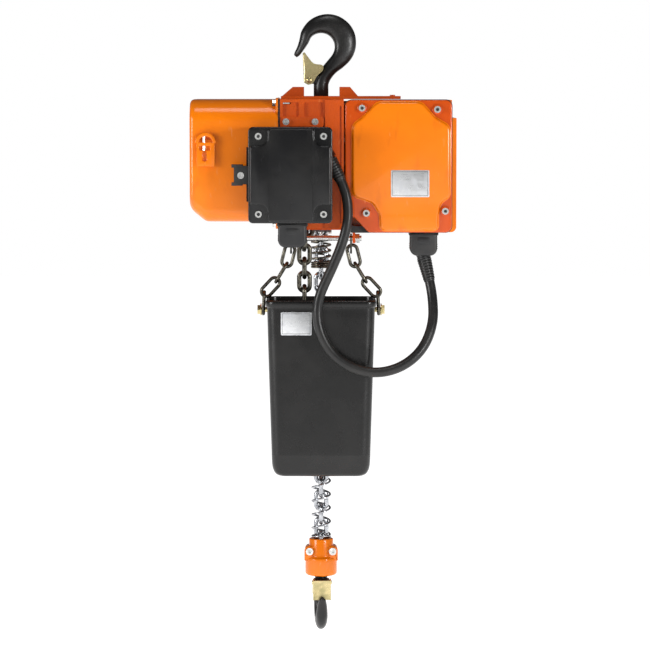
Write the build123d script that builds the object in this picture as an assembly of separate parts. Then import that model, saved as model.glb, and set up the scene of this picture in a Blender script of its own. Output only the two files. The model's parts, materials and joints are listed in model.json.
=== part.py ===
from build123d import *
import math
import os

# Electric chain hoist, 1 t, single fall. Millimetres, +Z up, +X to the right seen from the front,
# the front looks towards -Y. The origin is the seat of the upper hook's bowl, on the load line.

# ---- Driving dimensions --------------------------------------------------------------------------
# Load chain, short link
wire = 7.0  # diameter of the link's wire
pitch = 21.0  # inside length of a link
link_width = 23.0  # outside width of a link
chain_play = 0.1  # slack at each crown where links meet

# Hoist body, along X from motor to controls
body_top = -100.0
body_bottom = -283.0
body_depth = 180.0
casting_wall = 6.0
cover_top_radius = 34.0
cover_low_radius = 20.0
cover_end_radius = 7.0
frame_left = -61.0
frame_right = 34.0
frame_bottom = -292.0
motor_left = -196.0
motor_right = -64.0
motor_wall = 3.0
gasket_thickness = 3.0

# Fits
shaft_fit = 0.05  # radial clearance of a shaft in its bearing or bore
running_gap = 0.5  # gap between parts that turn past each other
seat_gap = 0.05  # gap between faces that are bolted or rest together
screw_fit = 0.1  # radial clearance of a screw in its hole

# Upper and lower hooks: the lower one is the upper one times hook_ratio
bowl_radius = 20.7
hook_back_radius = 43.5
hook_depth = 22.0
shank_radius = 11.25
stem_radius = 10.0
hook_ratio = 0.85
shank_end = -95.0
stem_end = -140.0
upper_neck = -78.0
lower_neck = -70.0
lower_seat = -894.0
lower_yaw = 4.0
upper_ear = (-18.0, -71.0)
lower_ear = (-19.0, -61.0)  # in the upper hook's size
ear_radius = 5.5
upper_ear_half = 9.0
lower_ear_half = 14.0
latch_pin_radius = 2.5
latch_sheet = 1.6
latch_gap = 0.5  # from the hook or its ear to each wing

# Gears: both stages share one centre distance
module_fast = 1.5
module_slow = 2.0
teeth_pinion = 9
teeth_wheel = 63
teeth_final = 45
countershaft_angle = 30.0  # above the horizontal, behind the sheave

# Chain bag
bag_top = -400.0
bag_bottom = -666.0
bag_half_top = 81.0
bag_half_bottom = 74.0
bag_depth = 104.0
bag_wall = 3.0
bag_y = -72.0

# Control box and junction box
control_left = 36.0
control_right = 202.0
control_top = -101.0
control_bottom = -298.0
control_front = -112.0
box_wall = 4.0
lid_depth = 12.0
junction_left = -107.0
junction_right = 17.0
junction_top = -140.5
junction_bottom = -282.0
junction_front = -170.0
junction_back = -122.0

# Springs and hook block
spring_wire = 3.2
spring_radius = 13.7  # to the middle of the wire
block_top = -775.5
block_shoulder = -804.0
block_bottom = -832.5
neck_radius = 18.6
barrel_radius = 24.6

# Hanger rod and slings of the bag
rod_radius = 4.0
rod_z = -309.0
sling_wire = 5.2
sling_pitch = 26.0
sling_width = 20.5

# Supply cable
cable_radius = 7.5

# ---- Sizes that follow ---------------------------------------------------------------------------
upright_radius = 26.6 * pitch / 21.0  # middle of a link that stands on edge in the sheave's groove
flat_radius = 23.6 * pitch / 21.0  # middle of a link that lies flat in a pocket
axis_y = -upright_radius
axis_z = 0.5 * (body_top + body_bottom)
body_front = axis_y - 0.5 * body_depth
body_back = axis_y + 0.5 * body_depth
centre_distance = 0.5 * module_fast * (teeth_pinion + teeth_wheel)
slow_pinion_teeth = round(2 * centre_distance / module_slow) - teeth_final
counter_y = axis_y + centre_distance * math.cos(math.radians(countershaft_angle))
counter_z = axis_z + centre_distance * math.sin(math.radians(countershaft_angle))
gear_case_wall = 5.0
gear_case_right = 100.0
sheave_reach = upright_radius + 0.5 * link_width + 1.0
bag_front = bag_y - 0.5 * bag_depth
plug_y = 0.5 * (junction_front + junction_back)
right_plug_y = -93.0

nodes = {}


# ---- Helpers -------------------------------------------------------------------------------------
def block(x0, x1, y0, y1, z0, z1):
    """Box between three pairs of planes."""
    middle = Pos(0.5 * (x0 + x1), 0.5 * (y0 + y1), 0.5 * (z0 + z1))
    return middle * Box(abs(x1 - x0), abs(y1 - y0), abs(z1 - z0))


def bar_x(radius, x0, x1, y, z):
    return Pos(0.5 * (x0 + x1), y, z) * Rot(0, 90, 0) * Cylinder(radius, abs(x1 - x0))


def bar_y(radius, x, y0, y1, z):
    return Pos(x, 0.5 * (y0 + y1), z) * Rot(90, 0, 0) * Cylinder(radius, abs(y1 - y0))


def bar_z(radius, x, y, z0, z1):
    return Pos(x, y, 0.5 * (z0 + z1)) * Cylinder(radius, abs(z1 - z0))


def slab_y(x0, x1, z0, z1, corner, y0, y1):
    """Plate with rounded corners seen from the front, between the planes y0 and y1."""
    outline = RectangleRounded(x1 - x0, z1 - z0, corner)
    solid = extrude(Plane.XZ * outline, abs(y1 - y0))
    return Pos(0.5 * (x0 + x1), max(y0, y1), 0.5 * (z0 + z1)) * solid


def ring_x(outer, inner, x0, x1, y, z):
    return bar_x(outer, x0, x1, y, z) - bar_x(inner, x0 - 1, x1 + 1, y, z)


def ring_z(outer, inner, x, y, z0, z1):
    return bar_z(outer, x, y, z0, z1) - bar_z(inner, x, y, min(z0, z1) - 1, max(z0, z1) + 1)


def hexagon_x(across_flats, x0, x1, y, z):
    outline = Plane.YZ * RegularPolygon(across_flats / math.sqrt(3), 6)
    return Pos(min(x0, x1), y, z) * extrude(outline, abs(x1 - x0))


def cap_screw_y(x, z, y_head, direction, radius, length, head_radius, head):
    """Socket cap screw along Y. y_head is the face under its head, on the side of direction."""
    shank = bar_y(radius, x, y_head, y_head - direction * length, z)
    cap = bar_y(head_radius, x, y_head, y_head + direction * head, z)
    socket_floor = y_head + direction * 0.45 * head
    key = Plane.XZ * RegularPolygon(0.55 * head_radius, 6)
    socket = Pos(x, max(socket_floor, socket_floor + direction * head), z) * extrude(key, head)
    return cap + shank - socket


def group(solids):
    """Separate solids that share one node."""
    return Compound(children=[s for piece in solids for s in piece.solids()])


def link(diameter, inner_length, width):
    """Chain link about the origin, its length along Z and its opening seen along Y."""
    bend = 0.5 * (width - diameter)
    straight = inner_length + diameter - 2 * bend
    wire_section = Plane.XY * Pos(bend, 0) * Circle(0.5 * diameter)
    top = revolve(wire_section, Axis.Y, -180)
    side = Pos(bend, 0, 0) * Cylinder(0.5 * diameter, straight)
    half = Pos(0, 0, 0.5 * straight) * top
    return half + (Rot(180, 0, 0) * half) + side + (Rot(0, 0, 180) * side)


def load_link():
    return link(wire, pitch + chain_play, link_width)


def hanging_links(x, y, z_first, count, turn):
    """Links in a straight fall, each a quarter turn from the one above."""
    return [
        Pos(x, y, z_first - i * pitch) * Rot(0, 0, turn + 90 * (i % 2)) * load_link()
        for i in range(count)
    ]


def coil_spring(radius, wire_radius, z_low, turns, coil_pitch, turn=0.0):
    """Open coil spring about the Z axis."""
    height = turns * coil_pitch
    path = Helix(pitch=coil_pitch, height=height, radius=radius)
    section = Plane(path @ 0, z_dir=path % 0) * Circle(wire_radius)
    return Pos(0, 0, z_low) * Rot(0, 0, turn) * sweep(section, path=path)


def gear(module, teeth, thickness, bore):
    """Spur gear about the origin, its axis along X, one tooth pointing along +Y."""
    outside = 0.5 * module * (teeth + 1.7)
    root = 0.5 * module * (teeth - 2.4)
    step = 2 * math.pi / teeth
    root_half = 0.31 * step
    tip_half = 0.11 * step
    points = []
    for i in range(teeth):
        for radius, shift in (
            (root, -root_half),
            (outside, -tip_half),
            (outside, tip_half),
            (root, root_half),
        ):
            angle = i * step + shift
            points.append((radius * math.cos(angle), radius * math.sin(angle)))
    profile = make_face(Polyline(*points, close=True))
    blank = extrude(Plane.YZ * profile, thickness)
    if bore > 0:
        blank -= bar_x(bore, -1, thickness + 1, 0, 0)
    return blank


def hook_outline(neck_z):
    """Hook seen from the front: bowl at the origin, mouth to the left, neck straight down."""
    centre_z = -bowl_radius
    mouth_x = -0.72 * bowl_radius
    mouth_z = centre_z + math.sqrt(bowl_radius**2 - mouth_x**2)
    throat_x = 0.9 * bowl_radius
    throat_z = centre_z - math.sqrt(bowl_radius**2 - throat_x**2)
    back_x = 0.48 * bowl_radius
    back_z = -0.7 * bowl_radius
    diagonal = hook_back_radius * math.sqrt(0.5)
    left = (back_x - hook_back_radius, back_z)
    top = (back_x, back_z + hook_back_radius)
    right = (back_x + hook_back_radius, back_z)
    low_right = (back_x + 0.949 * hook_back_radius, back_z - 0.316 * hook_back_radius)
    low_back = (back_x + 0.8 * hook_back_radius, back_z - 0.6 * hook_back_radius)
    shank = (-shank_radius, neck_z)
    throat = (throat_x, throat_z)
    mouth = (mouth_x, mouth_z)
    tip = (-41.0, -32.0)
    tip_low = (-34.0, -36.0)
    return make_face(
        [
            ThreePointArc(left, (back_x - diagonal, back_z + diagonal), top),
            ThreePointArc(top, (back_x + diagonal, back_z + diagonal), right),
            ThreePointArc(right, low_right, low_back),
            Spline(low_back, (27.0, -56.0), (shank_radius, neck_z), tangents=[(-0.6, -0.8), (0, -1)]),
            Line((shank_radius, neck_z), shank),
            Spline(shank, (-5.0, -60.0), throat, tangents=[(0, 1), (0.9, 0.44)]),
            ThreePointArc(throat, (0.72 * bowl_radius, mouth_z), mouth),
            Spline(mouth, (-25.0, -24.0), tip_low, tangents=[(-0.55, -0.84), (-0.75, -0.66)]),
            ThreePointArc(tip_low, (-39.5, -36.5), tip),
            Spline(tip, left, tangents=[(0.35, 0.93), (0, 1)]),
        ]
    )


def hook_body(ear_x, ear_z, ear_half, neck_z, stem_top):
    """Forged hook with its round shank, threaded stem and latch ear, its bowl's seat at the origin."""
    solid = extrude(Plane.XZ * hook_outline(neck_z), 0.5 * hook_depth, both=True)
    solid += bar_z(shank_radius, 0, 0, shank_end, neck_z + 1.0)
    solid += bar_z(stem_radius, 0, 0, stem_top, shank_end + 1)
    ear = bar_y(ear_radius, ear_x, -ear_half, ear_half, ear_z)
    ear += block(ear_x, -3.0, -ear_half, ear_half, ear_z - ear_radius, ear_z + 0.4 * ear_radius)
    return solid + ear - bar_y(latch_pin_radius + shaft_fit, ear_x, -hook_depth, hook_depth, ear_z)


def latch_body(ear_x, ear_z, inner):
    """Folded safety latch: two wings beside the hook and a web across its mouth."""
    wing = make_face(
        Polyline(
            (ear_x - 8.0, ear_z - 4.0),
            (ear_x - 3.0, ear_z - 7.0),
            (ear_x + 6.0, ear_z - 4.5),
            (-2.0, 0.9 * ear_z),
            (4.0, -51.0),
            (-23.0, -28.5),
            (-28.0, -30.0),
            close=True,
        )
    )
    near = Pos(0, -inner, 0) * extrude(Plane.XZ * wing, latch_sheet)
    far = Pos(0, inner + latch_sheet, 0) * extrude(Plane.XZ * wing, latch_sheet)
    lean = (ear_x - 8.0 + 28.0) / (ear_z - 4.0 + 30.0)
    web_low = ear_z - 3.0
    web_high = -31.5
    web_face = make_face(
        Polyline(
            (-28.0 + lean * (web_low + 30.0), web_low),
            (-28.0 + lean * (web_high + 30.0), web_high),
            (-28.0 + lean * (web_high + 30.0) + latch_sheet, web_high),
            (-28.0 + lean * (web_low + 30.0) + latch_sheet, web_low),
            close=True,
        )
    )
    web = extrude(Plane.XZ * web_face, inner + 0.5 * latch_sheet, both=True)
    bore = bar_y(latch_pin_radius + shaft_fit, ear_x, -2 * inner, 2 * inner, ear_z)
    return near + far + web - bore


def latch_pin(ear_x, ear_z, inner):
    """Riveted pin of the latch, its heads outside the wings."""
    outside = inner + latch_sheet + 0.3
    pin = bar_y(latch_pin_radius, ear_x, -outside - 1.5, outside + 1.5, ear_z)
    for side in (-1, 1):
        pin += bar_y(1.7 * latch_pin_radius, ear_x, side * outside, side * (outside + 1.5), ear_z)
    return pin


def lower_place(solid):
    """Carries a solid of the upper hook's frame to the lower hook's place."""
    return Pos(0, 0, lower_seat) * Rot(0, 0, lower_yaw - 90) * Rot(0, 180, 0) * scale(solid, hook_ratio)


def walking_links(start, angles, first_turn, make_link, step):
    """Links hung one from another, each leaning by its own angle from the vertical towards +X."""
    x, y, z = start
    links = []
    previous = angles[0]
    for i, angle in enumerate(angles):
        if i > 0:
            x += 0.5 * step * (math.sin(math.radians(previous)) + math.sin(math.radians(angle)))
            z -= 0.5 * step * (math.cos(math.radians(previous)) + math.cos(math.radians(angle)))
        lean = Rot(0, -angle, 0)
        links.append(Pos(x, y, z) * lean * Rot(0, 0, first_turn + 90 * (i % 2)) * make_link())
        previous = angle
    return links, (x, y, z)


def bag_form(inset, top, bottom):
    """Solid of the chain bag's outer shape, set in by a wall."""
    crease = bag_bottom + 34.0
    corner = 14.0 - 0.6 * inset
    sections = []
    for z, half, depth in (
        (bottom, bag_half_bottom - 2.0, bag_depth - 18.0),
        (crease, bag_half_bottom, bag_depth),
        (top, bag_half_top, bag_depth),
    ):
        outline = RectangleRounded(2 * (half - inset), depth - 2 * inset, corner)
        sections.append(Pos(0, bag_y, z) * outline)
    return loft(sections, ruled=True)


def cover_form(inset, right):
    """Solid of the motor cover's outer shape, set in by a wall."""
    height = body_top - body_bottom
    outline = Rectangle(body_depth - 2 * inset, height - 2 * inset)
    upper = outline.vertices().group_by(Axis.Y)[-1]
    outline = fillet(upper, cover_top_radius - inset)
    lower = outline.vertices().group_by(Axis.Y)[0]
    outline = fillet(lower, cover_low_radius - inset)
    left = motor_left + inset
    solid = Pos(left, axis_y, axis_z) * extrude(Plane.YZ * outline, right - left)
    solid = fillet(solid.faces().sort_by(Axis.X)[0].edges(), cover_end_radius - inset)
    slope = make_face(
        Polyline(
            (motor_left - 1, body_bottom - 1),
            (motor_left + 25.0 + inset, body_bottom - 1),
            (motor_left - 1, body_bottom + 21.0 + inset),
            close=True,
        )
    )
    return solid - Pos(0, 400, 0) * extrude(Plane.XZ * slope, 800)


# ---- Suspension hook -----------------------------------------------------------------------------
plate_top = body_top + 4.5
frame_roof = body_top - 12.0
washer_low = frame_roof - 6.5
nut_height = 17.0

upper_latch_half = 0.5 * hook_depth + latch_gap
nodes["upper_hook"] = hook_body(*upper_ear, upper_ear_half, upper_neck, stem_end)
nodes["upper_latch"] = group(
    [latch_body(*upper_ear, upper_latch_half), latch_pin(*upper_ear, upper_latch_half)]
)
nodes["hook_thrust_bearing"] = ring_z(19.0, stem_radius + 0.4, 0, 0, washer_low, frame_roof - seat_gap)
nut_outline = RegularPolygon(32.0 / math.sqrt(3), 6)
hook_nut = Pos(0, 0, washer_low - seat_gap - nut_height) * extrude(nut_outline, nut_height)
nodes["upper_hook_nut"] = hook_nut - bar_z(stem_radius + 0.02, 0, 0, -160.0, -90.0)

# ---- Top plate with its trolley ears -------------------------------------------------------------
top_plate = block(frame_left + 0.5, 120.0, -60.0, 60.0, body_top + seat_gap, plate_top)
ear_height = 14.0
for foot_left, foot_right, head_left, head_right in (
    (-60.5, -26.0, -43.0, -26.0),
    (28.0, 57.0, 28.0, 44.0),
):
    lug_side = Polygon(
        (foot_left, plate_top - 1),
        (foot_right, plate_top - 1),
        (head_right, plate_top + ear_height),
        (head_left, plate_top + ear_height),
        align=None,
    )
    lug = extrude(Plane.XZ * lug_side, 16.0, both=True)
    top_plate += lug - bar_x(4.5, foot_left - 1, foot_right + 1, 0.0, plate_top + 7.0)
top_plate += bar_z(4.0, 108.0, -40.0, plate_top - 1, plate_top + 2.0)
nodes["top_plate"] = top_plate - bar_z(stem_radius + shaft_fit, 0, 0, -110.0, -90.0)

# ---- Main frame ----------------------------------------------------------------------------------
bearing_width = 12.0
bearing_outer = 27.5
sheave_shaft = 15.0
chamber_half = frame_right - bearing_width
partition_left = -chamber_half - bearing_width
frame = block(frame_left, frame_right, body_front, body_back, frame_bottom, body_top)
cell_outline = RectangleRounded(
    body_depth - 2 * casting_wall, body_top - frame_bottom - 2 * casting_wall, 30.0
)
cell_centre_z = 0.5 * (body_top + frame_bottom)
cell = Pos(frame_left - 1, axis_y, cell_centre_z) * extrude(
    Plane.YZ * cell_outline, partition_left - frame_left + 1
)
frame -= cell
frame -= block(
    -chamber_half,
    chamber_half,
    body_front + casting_wall,
    body_back - casting_wall,
    frame_bottom + 8.0,
    frame_roof,
)
frame -= bar_x(bearing_outer + seat_gap, partition_left - 1, frame_right + 1, axis_y, axis_z)
frame -= bar_z(stem_radius + shaft_fit, 0, 0, frame_roof - 1, body_top + 1)
outlet_half = 14.0
frame -= block(-outlet_half, outlet_half, -outlet_half, outlet_half, frame_bottom - 1, frame_bottom + 9)
slack_y = axis_y - upright_radius
frame -= block(-43.0, -4.0, slack_y - 15.0, slack_y + 14.0, frame_bottom - 1, axis_z - 32.0)
counter_radius = 0.5 * module_slow * (teeth_pinion - 2.4) - 0.1
counter_left = 26.0
frame -= bar_x(counter_radius + shaft_fit, counter_left - 1, frame_right + 1, counter_y, counter_z)
band_low = -127.0
for pocket_left, pocket_right in ((-57.0, -33.0), (-25.0, 3.0)):
    pocket = slab_y(
        pocket_left, pocket_right, band_low + 1.5, body_top - 4.5, 2.0, body_front - 1, body_front + 4
    )
    frame -= pocket
column_left = 6.0
frame += block(column_left, frame_right, body_front - 4.0, body_front + 1, frame_bottom, body_top - 1)
frame -= block(28.0, 30.5, body_front - 5.0, body_front - 1.0, -284.0, body_top - 10)
frame += slab_y(-59.0, 4.0, -140.0, band_low, 2.5, body_front - 5.0, body_front + 1)
frame_screw_x = (-52.0, -8.7)
frame_screw_z = -133.3
for x in frame_screw_x:
    frame -= bar_y(3.0 + screw_fit, x, body_front - 6, body_front + 12, frame_screw_z)
flange_bolt_places = [
    (y, z)
    for y in (body_front + 6.5, body_back - 6.5)
    for z in (body_top - 5.5, frame_bottom + 6.5)
]
for y, z in flange_bolt_places:
    frame -= bar_x(3.0 + screw_fit, frame_left - 1, frame_left + 16, y, z)

# ---- Motor side ----------------------------------------------------------------------------------
cover = cover_form(0, motor_right) - cover_form(motor_wall, motor_right + 1)
lug_thickness = 3.5
for y, z in flange_bolt_places:
    lug = bar_x(8.0, motor_right - lug_thickness, motor_right, y, z)
    lug += block(
        motor_right - lug_thickness,
        motor_right,
        y,
        y + math.copysign(16.0, axis_y - y),
        z,
        z + math.copysign(16.0, axis_z - z),
    )
    cover += lug - cover_form(0.5 * motor_wall, motor_right + 1)
    cover -= bar_x(3.0 + screw_fit, motor_right - 10, motor_right + 1, y, z)

# cast lug with a T-slot and an arch on the cover's front
lug_left, lug_right, lug_low, lug_high = -185.0, -158.0, -199.5, -164.0
lug_front = body_front - 8.0
lug_middle = 0.5 * (lug_left + lug_right)
cast_lug = block(lug_left, lug_right, lug_front, body_front + 1, lug_low, lug_high)
cast_lug += bar_y(16.0, lug_middle, lug_front, body_front + 1, lug_high)
cast_lug -= bar_y(10.5, lug_middle, lug_front - 1, body_front - 2.5, lug_high) & block(
    lug_left, lug_right, lug_front - 1, body_front, lug_high, lug_high + 20
)
cast_lug -= block(lug_left + 4, lug_right - 7, lug_front - 1, lug_front + 5, -176.0, -169.0)
cast_lug -= block(-176.5, -170.0, lug_front - 1, lug_front + 5, -192.0, -175.0)
cover += cast_lug
lug_pin_x = -174.0
cover -= bar_z(2.2 + screw_fit, lug_pin_x, body_front - 5.0, lug_high - 14, lug_high + 30)
nodes["motor_cover"] = cover
nodes["cover_lug_pin"] = bar_z(2.2, lug_pin_x, body_front - 5.0, lug_high - 12, lug_high + 12)

gasket_outline = RectangleRounded(body_depth, body_top - frame_bottom + 1.0, 4.0)
gasket = Pos(motor_right + seat_gap, axis_y, cell_centre_z) * extrude(
    Plane.YZ * gasket_outline, gasket_thickness - 2 * seat_gap
)
gasket -= Pos(motor_right - 1, axis_y, cell_centre_z) * extrude(Plane.YZ * cell_outline, 10.0)
flange_bolts = []
for y, z in flange_bolt_places:
    gasket -= bar_x(3.0 + screw_fit, motor_right - 1, frame_left + 1, y, z)
    head_face = motor_right - lug_thickness - seat_gap
    flange_bolt = bar_x(3.0, head_face - 4.0, frame_left + 14, y, z)
    flange_bolts.append(flange_bolt + hexagon_x(9.0, head_face - 5.0, head_face, y, z))

stator_left, stator_right = -148.0, -84.0
stator_outer, stator_inner = 68.0, 39.5
winding_reach = 10.0
nodes["motor_stator"] = ring_x(stator_outer, stator_inner, stator_left, stator_right, axis_y, axis_z)
stator_windings = [
    ring_x(62.0, 43.0, stator_left - winding_reach, stator_left - seat_gap, axis_y, axis_z),
    ring_x(62.0, 43.0, stator_right + seat_gap, stator_right + winding_reach, axis_y, axis_z),
]
rotor_shaft = 7.0
brake_plate_left, brake_plate_right = -166.0, -161.0
brake_shaft = 10.0
fast_left, fast_right = 79.0, 88.0
case_floor = gear_case_right - gear_case_wall
rotor = bar_x(stator_inner - running_gap, stator_left, stator_right, axis_y, axis_z)
rotor += bar_x(brake_shaft, -186.0, -64.0, axis_y, axis_z)
rotor += bar_x(rotor_shaft, -65.0, fast_left - 1.5, axis_y, axis_z)
rotor_stub = 0.5 * module_fast * (teeth_pinion - 2.4) - 0.1
rotor += bar_x(rotor_stub, fast_left - 2.0, case_floor + 1.0, axis_y, axis_z)
pinion = gear(module_fast, teeth_pinion, fast_right - fast_left + 2, 0)
rotor += Pos(fast_left - 1, axis_y, axis_z) * Rot(countershaft_angle, 0, 0) * pinion
nodes["rotor"] = rotor

shield = bar_x(72.0, -70.0, frame_left - 4.0, axis_y, axis_z)
shield += bar_x(34.0, frame_left - 5.0, -50.0, axis_y, axis_z)
end_shield = shield - bar_x(brake_shaft + shaft_fit, -80.0, -63.95, axis_y, axis_z) - bar_x(
    18.0, -63.95, -40.0, axis_y, axis_z
)
brake_plate = ring_x(72.0, brake_shaft + shaft_fit, brake_plate_left, brake_plate_right, axis_y, axis_z)
nodes["motor_end_shields"] = group([end_shield, brake_plate])
disc_right = brake_plate_left - running_gap
disc_left = disc_right - 6.0
nodes["brake_disc"] = ring_x(46.0, brake_shaft + 0.02, disc_left, disc_right, axis_y, axis_z)
armature_travel = 0.5
armature_right = disc_left - 0.1
armature_left = armature_right - 4.0
armature = ring_x(50.0, 13.0, armature_left, armature_right, axis_y, axis_z)
coil_right = armature_left - armature_travel - 0.1
coil_left = motor_left + motor_wall + 1.5
coil = ring_x(52.0, 13.0, coil_left, coil_right, axis_y, axis_z)
for angle in (30, 150, 270):
    y = axis_y + 42.0 * math.cos(math.radians(angle))
    z = axis_z + 42.0 * math.sin(math.radians(angle))
    armature -= bar_x(3.5, armature_left - 1, armature_right + 1, y, z)
    coil -= bar_x(3.5, coil_right - 8.0, coil_right + 1, y, z)
nodes["brake_armature"] = armature
nodes["brake_coil"] = coil - ring_x(36.0, 22.0, coil_right - 7.0, coil_right + 1, axis_y, axis_z)
brake_winding = ring_x(35.5, 22.5, coil_right - 6.9, coil_right - 0.4, axis_y, axis_z)
nodes["windings"] = group(stator_windings + [brake_winding])

# ---- Load sheave and gear train ------------------------------------------------------------------
sheave_half = 17.0
pocket_half = 0.5 * link_width + 0.8
link_length = pitch + chain_play + 2 * wire
sheave = bar_x(33.0, -sheave_half, sheave_half, axis_y, axis_z)
groove = ring_x(
    50.0, upright_radius - 0.5 * link_width - 0.5, -0.5 * wire - 0.7, 0.5 * wire + 0.7, 0, 0
)
sheave -= Pos(0, axis_y, axis_z) * groove
pocket_floor = flat_radius - 0.5 * wire - 0.3
for quarter in range(4):
    recess = block(
        -pocket_half, pocket_half, pocket_floor, 60.0, -0.5 * link_length - 0.8, 0.5 * link_length + 0.8
    )
    sheave -= Pos(0, axis_y, axis_z) * Rot(45 + 90 * quarter, 0, 0) * recess
final_left, final_right = 60.0, 74.0
sheave += bar_x(sheave_shaft, partition_left - 6.0, -sheave_half + 1, axis_y, axis_z)
sheave += bar_x(sheave_shaft, sheave_half - 1, final_right, axis_y, axis_z)
sheave -= bar_x(rotor_shaft + 1.0, -80.0, final_right + 1, axis_y, axis_z)
nodes["load_sheave"] = sheave

wrap = []
for i, angle in enumerate((45, 90, 135)):
    radius = upright_radius if i % 2 else flat_radius
    seat = Pos(0, radius, 0) * Rot(0, 0, 90 * (i % 2)) * load_link()
    wrap.append(Pos(0, axis_y, axis_z) * Rot(angle, 0, 0) * seat)
nodes["chain_on_sheave"] = group(wrap)

half_tooth_final = 180.0 / teeth_final
final = gear(module_slow, teeth_final, final_right - final_left, sheave_shaft + 0.02)
final_turn = countershaft_angle + half_tooth_final
nodes["final_gear"] = Pos(final_left, axis_y, axis_z) * Rot(final_turn, 0, 0) * final
slow_pinion = gear(module_slow, slow_pinion_teeth, final_right - final_left + 2, 0)
counter = Pos(final_left - 1, counter_y, counter_z) * Rot(180 + countershaft_angle, 0, 0) * slow_pinion
counter += bar_x(counter_radius, counter_left, case_floor + 1.0, counter_y, counter_z)
wheel = gear(module_fast, teeth_wheel, fast_right - fast_left, 0)
half_tooth_wheel = 180.0 / teeth_wheel
wheel_turn = 180 + countershaft_angle + half_tooth_wheel
counter += Pos(fast_left, counter_y, counter_z) * Rot(wheel_turn, 0, 0) * wheel
nodes["countershaft"] = counter

bearings = []
for x0 in (partition_left, chamber_half):
    x1 = x0 + bearing_width
    ball_radius = 3.4
    middle_radius = 0.5 * (sheave_shaft + bearing_outer)
    race = Pos(0.5 * (x0 + x1), axis_y, axis_z) * Rot(0, 90, 0) * Torus(
        middle_radius, ball_radius + 0.1
    )
    bearings.append(ring_x(bearing_outer, middle_radius + 2.0, x0, x1, axis_y, axis_z) - race)
    bearings.append(
        ring_x(middle_radius - 2.0, sheave_shaft + shaft_fit, x0, x1, axis_y, axis_z) - race
    )
    for k in range(9):
        turn = Rot(40.0 * k, 0, 0) * Pos(0, middle_radius, 0)
        bearings.append(Pos(0.5 * (x0 + x1), axis_y, axis_z) * turn * Sphere(ball_radius))
nodes["sheave_bearings"] = group(bearings)

guide_inner = sheave_reach + 2.0
guide = ring_x(
    guide_inner + 5.0, guide_inner, seat_gap - chamber_half, chamber_half - seat_gap, axis_y, axis_z
)
guide = guide & block(-50.0, 50.0, axis_y - 60.0, axis_y + 60.0, axis_z, axis_z + 60.0)
stripper = block(
    seat_gap - chamber_half,
    chamber_half - seat_gap,
    axis_y - 13.0,
    axis_y + 13.0,
    frame_bottom + 8.0 + seat_gap,
    axis_z - 34.0,
)
stripper -= bar_x(sheave_reach + 1.0, -50.0, 50.0, axis_y, axis_z)
nodes["chain_guides"] = group([guide, stripper])

case_left = frame_right + seat_gap
final_case = 0.5 * module_slow * (teeth_final + 2) + 4
wheel_case = 0.5 * module_fast * (teeth_wheel + 2) + 4
case = bar_x(final_case + gear_case_wall, case_left, gear_case_right, axis_y, axis_z)
case += bar_x(wheel_case + gear_case_wall, case_left, gear_case_right, counter_y, counter_z)
case_bolt_places = [
    (cy + (radius + 12.0) * math.cos(math.radians(a)), cz + (radius + 12.0) * math.sin(math.radians(a)))
    for cy, cz, radius, angles in (
        (axis_y, axis_z, final_case, (225, 270, 310)),
        (counter_y, counter_z, wheel_case, (-40, 10, 55)),
    )
    for a in angles
]
case_lug_right = 58.0
for y, z in case_bolt_places:
    case += bar_x(8.5, case_left, case_lug_right, y, z)
case -= bar_x(final_case, case_left - 1, case_floor, axis_y, axis_z)
case -= bar_x(wheel_case, case_left - 1, case_floor, counter_y, counter_z)
case += bar_x(14.0, fast_right + 3.0, case_floor + 1, axis_y, axis_z)
case += bar_x(14.0, fast_right + 3.0, case_floor + 1, counter_y, counter_z)
case -= bar_x(rotor_stub + shaft_fit, fast_right + 2.0, case_floor + 2, axis_y, axis_z)
case -= bar_x(counter_radius + shaft_fit, fast_right + 2.0, case_floor + 2, counter_y, counter_z)
case_bolts = []
for y, z in case_bolt_places:
    case -= bar_x(3.0 + screw_fit, case_left - 1, case_lug_right + 1, y, z)
    case_bolts.append(
        bar_x(3.0, case_left + 0.5, case_lug_right + 2, y, z)
        + hexagon_x(10.0, case_lug_right + seat_gap, case_lug_right + 5.0, y, z)
    )
nodes["gear_case"] = case
nodes["housing_bolts"] = group(flange_bolts + case_bolts)

# ---- Control box, its lid and what it holds ------------------------------------------------------
deep_left = gear_case_right + 4.0
shallow_back = -88.0
deep_back = 62.0
lid_right = control_right - 7.0
box = block(control_left, control_right, control_front, shallow_back, control_bottom, control_top)
box += block(deep_left, control_right, control_front, deep_back, control_bottom, control_top)
box = fillet(box.edges().filter_by(Axis.Y), 8.0)
box -= block(
    control_left + box_wall,
    lid_right - box_wall,
    control_front - 1,
    shallow_back - box_wall,
    control_bottom + box_wall,
    control_top - box_wall,
)
box -= block(
    deep_left + box_wall,
    lid_right - box_wall,
    control_front - 1,
    deep_back - box_wall,
    control_bottom + box_wall,
    control_top - box_wall,
)
box -= block(lid_right, control_right + 1, control_front - 1, deep_back + 1, -128.0, control_top + 1)
lid_screw_places = ((61.0, -113.0), (173.0, -115.0), (67.5, -269.0), (185.0, -266.0))
for x, z in lid_screw_places:
    boss = bar_y(5.0, x, control_front, shallow_back - 2.0, z)
    wall_z = control_top - 1.0 if z > axis_z else control_bottom + 1.0
    boss += block(x - 2.5, x + 2.5, control_front, shallow_back - 2.0, z, wall_z)
    box += boss - bar_y(2.5 + screw_fit, x, control_front - 1, shallow_back - 6, z)
nodes["control_box"] = box

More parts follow.
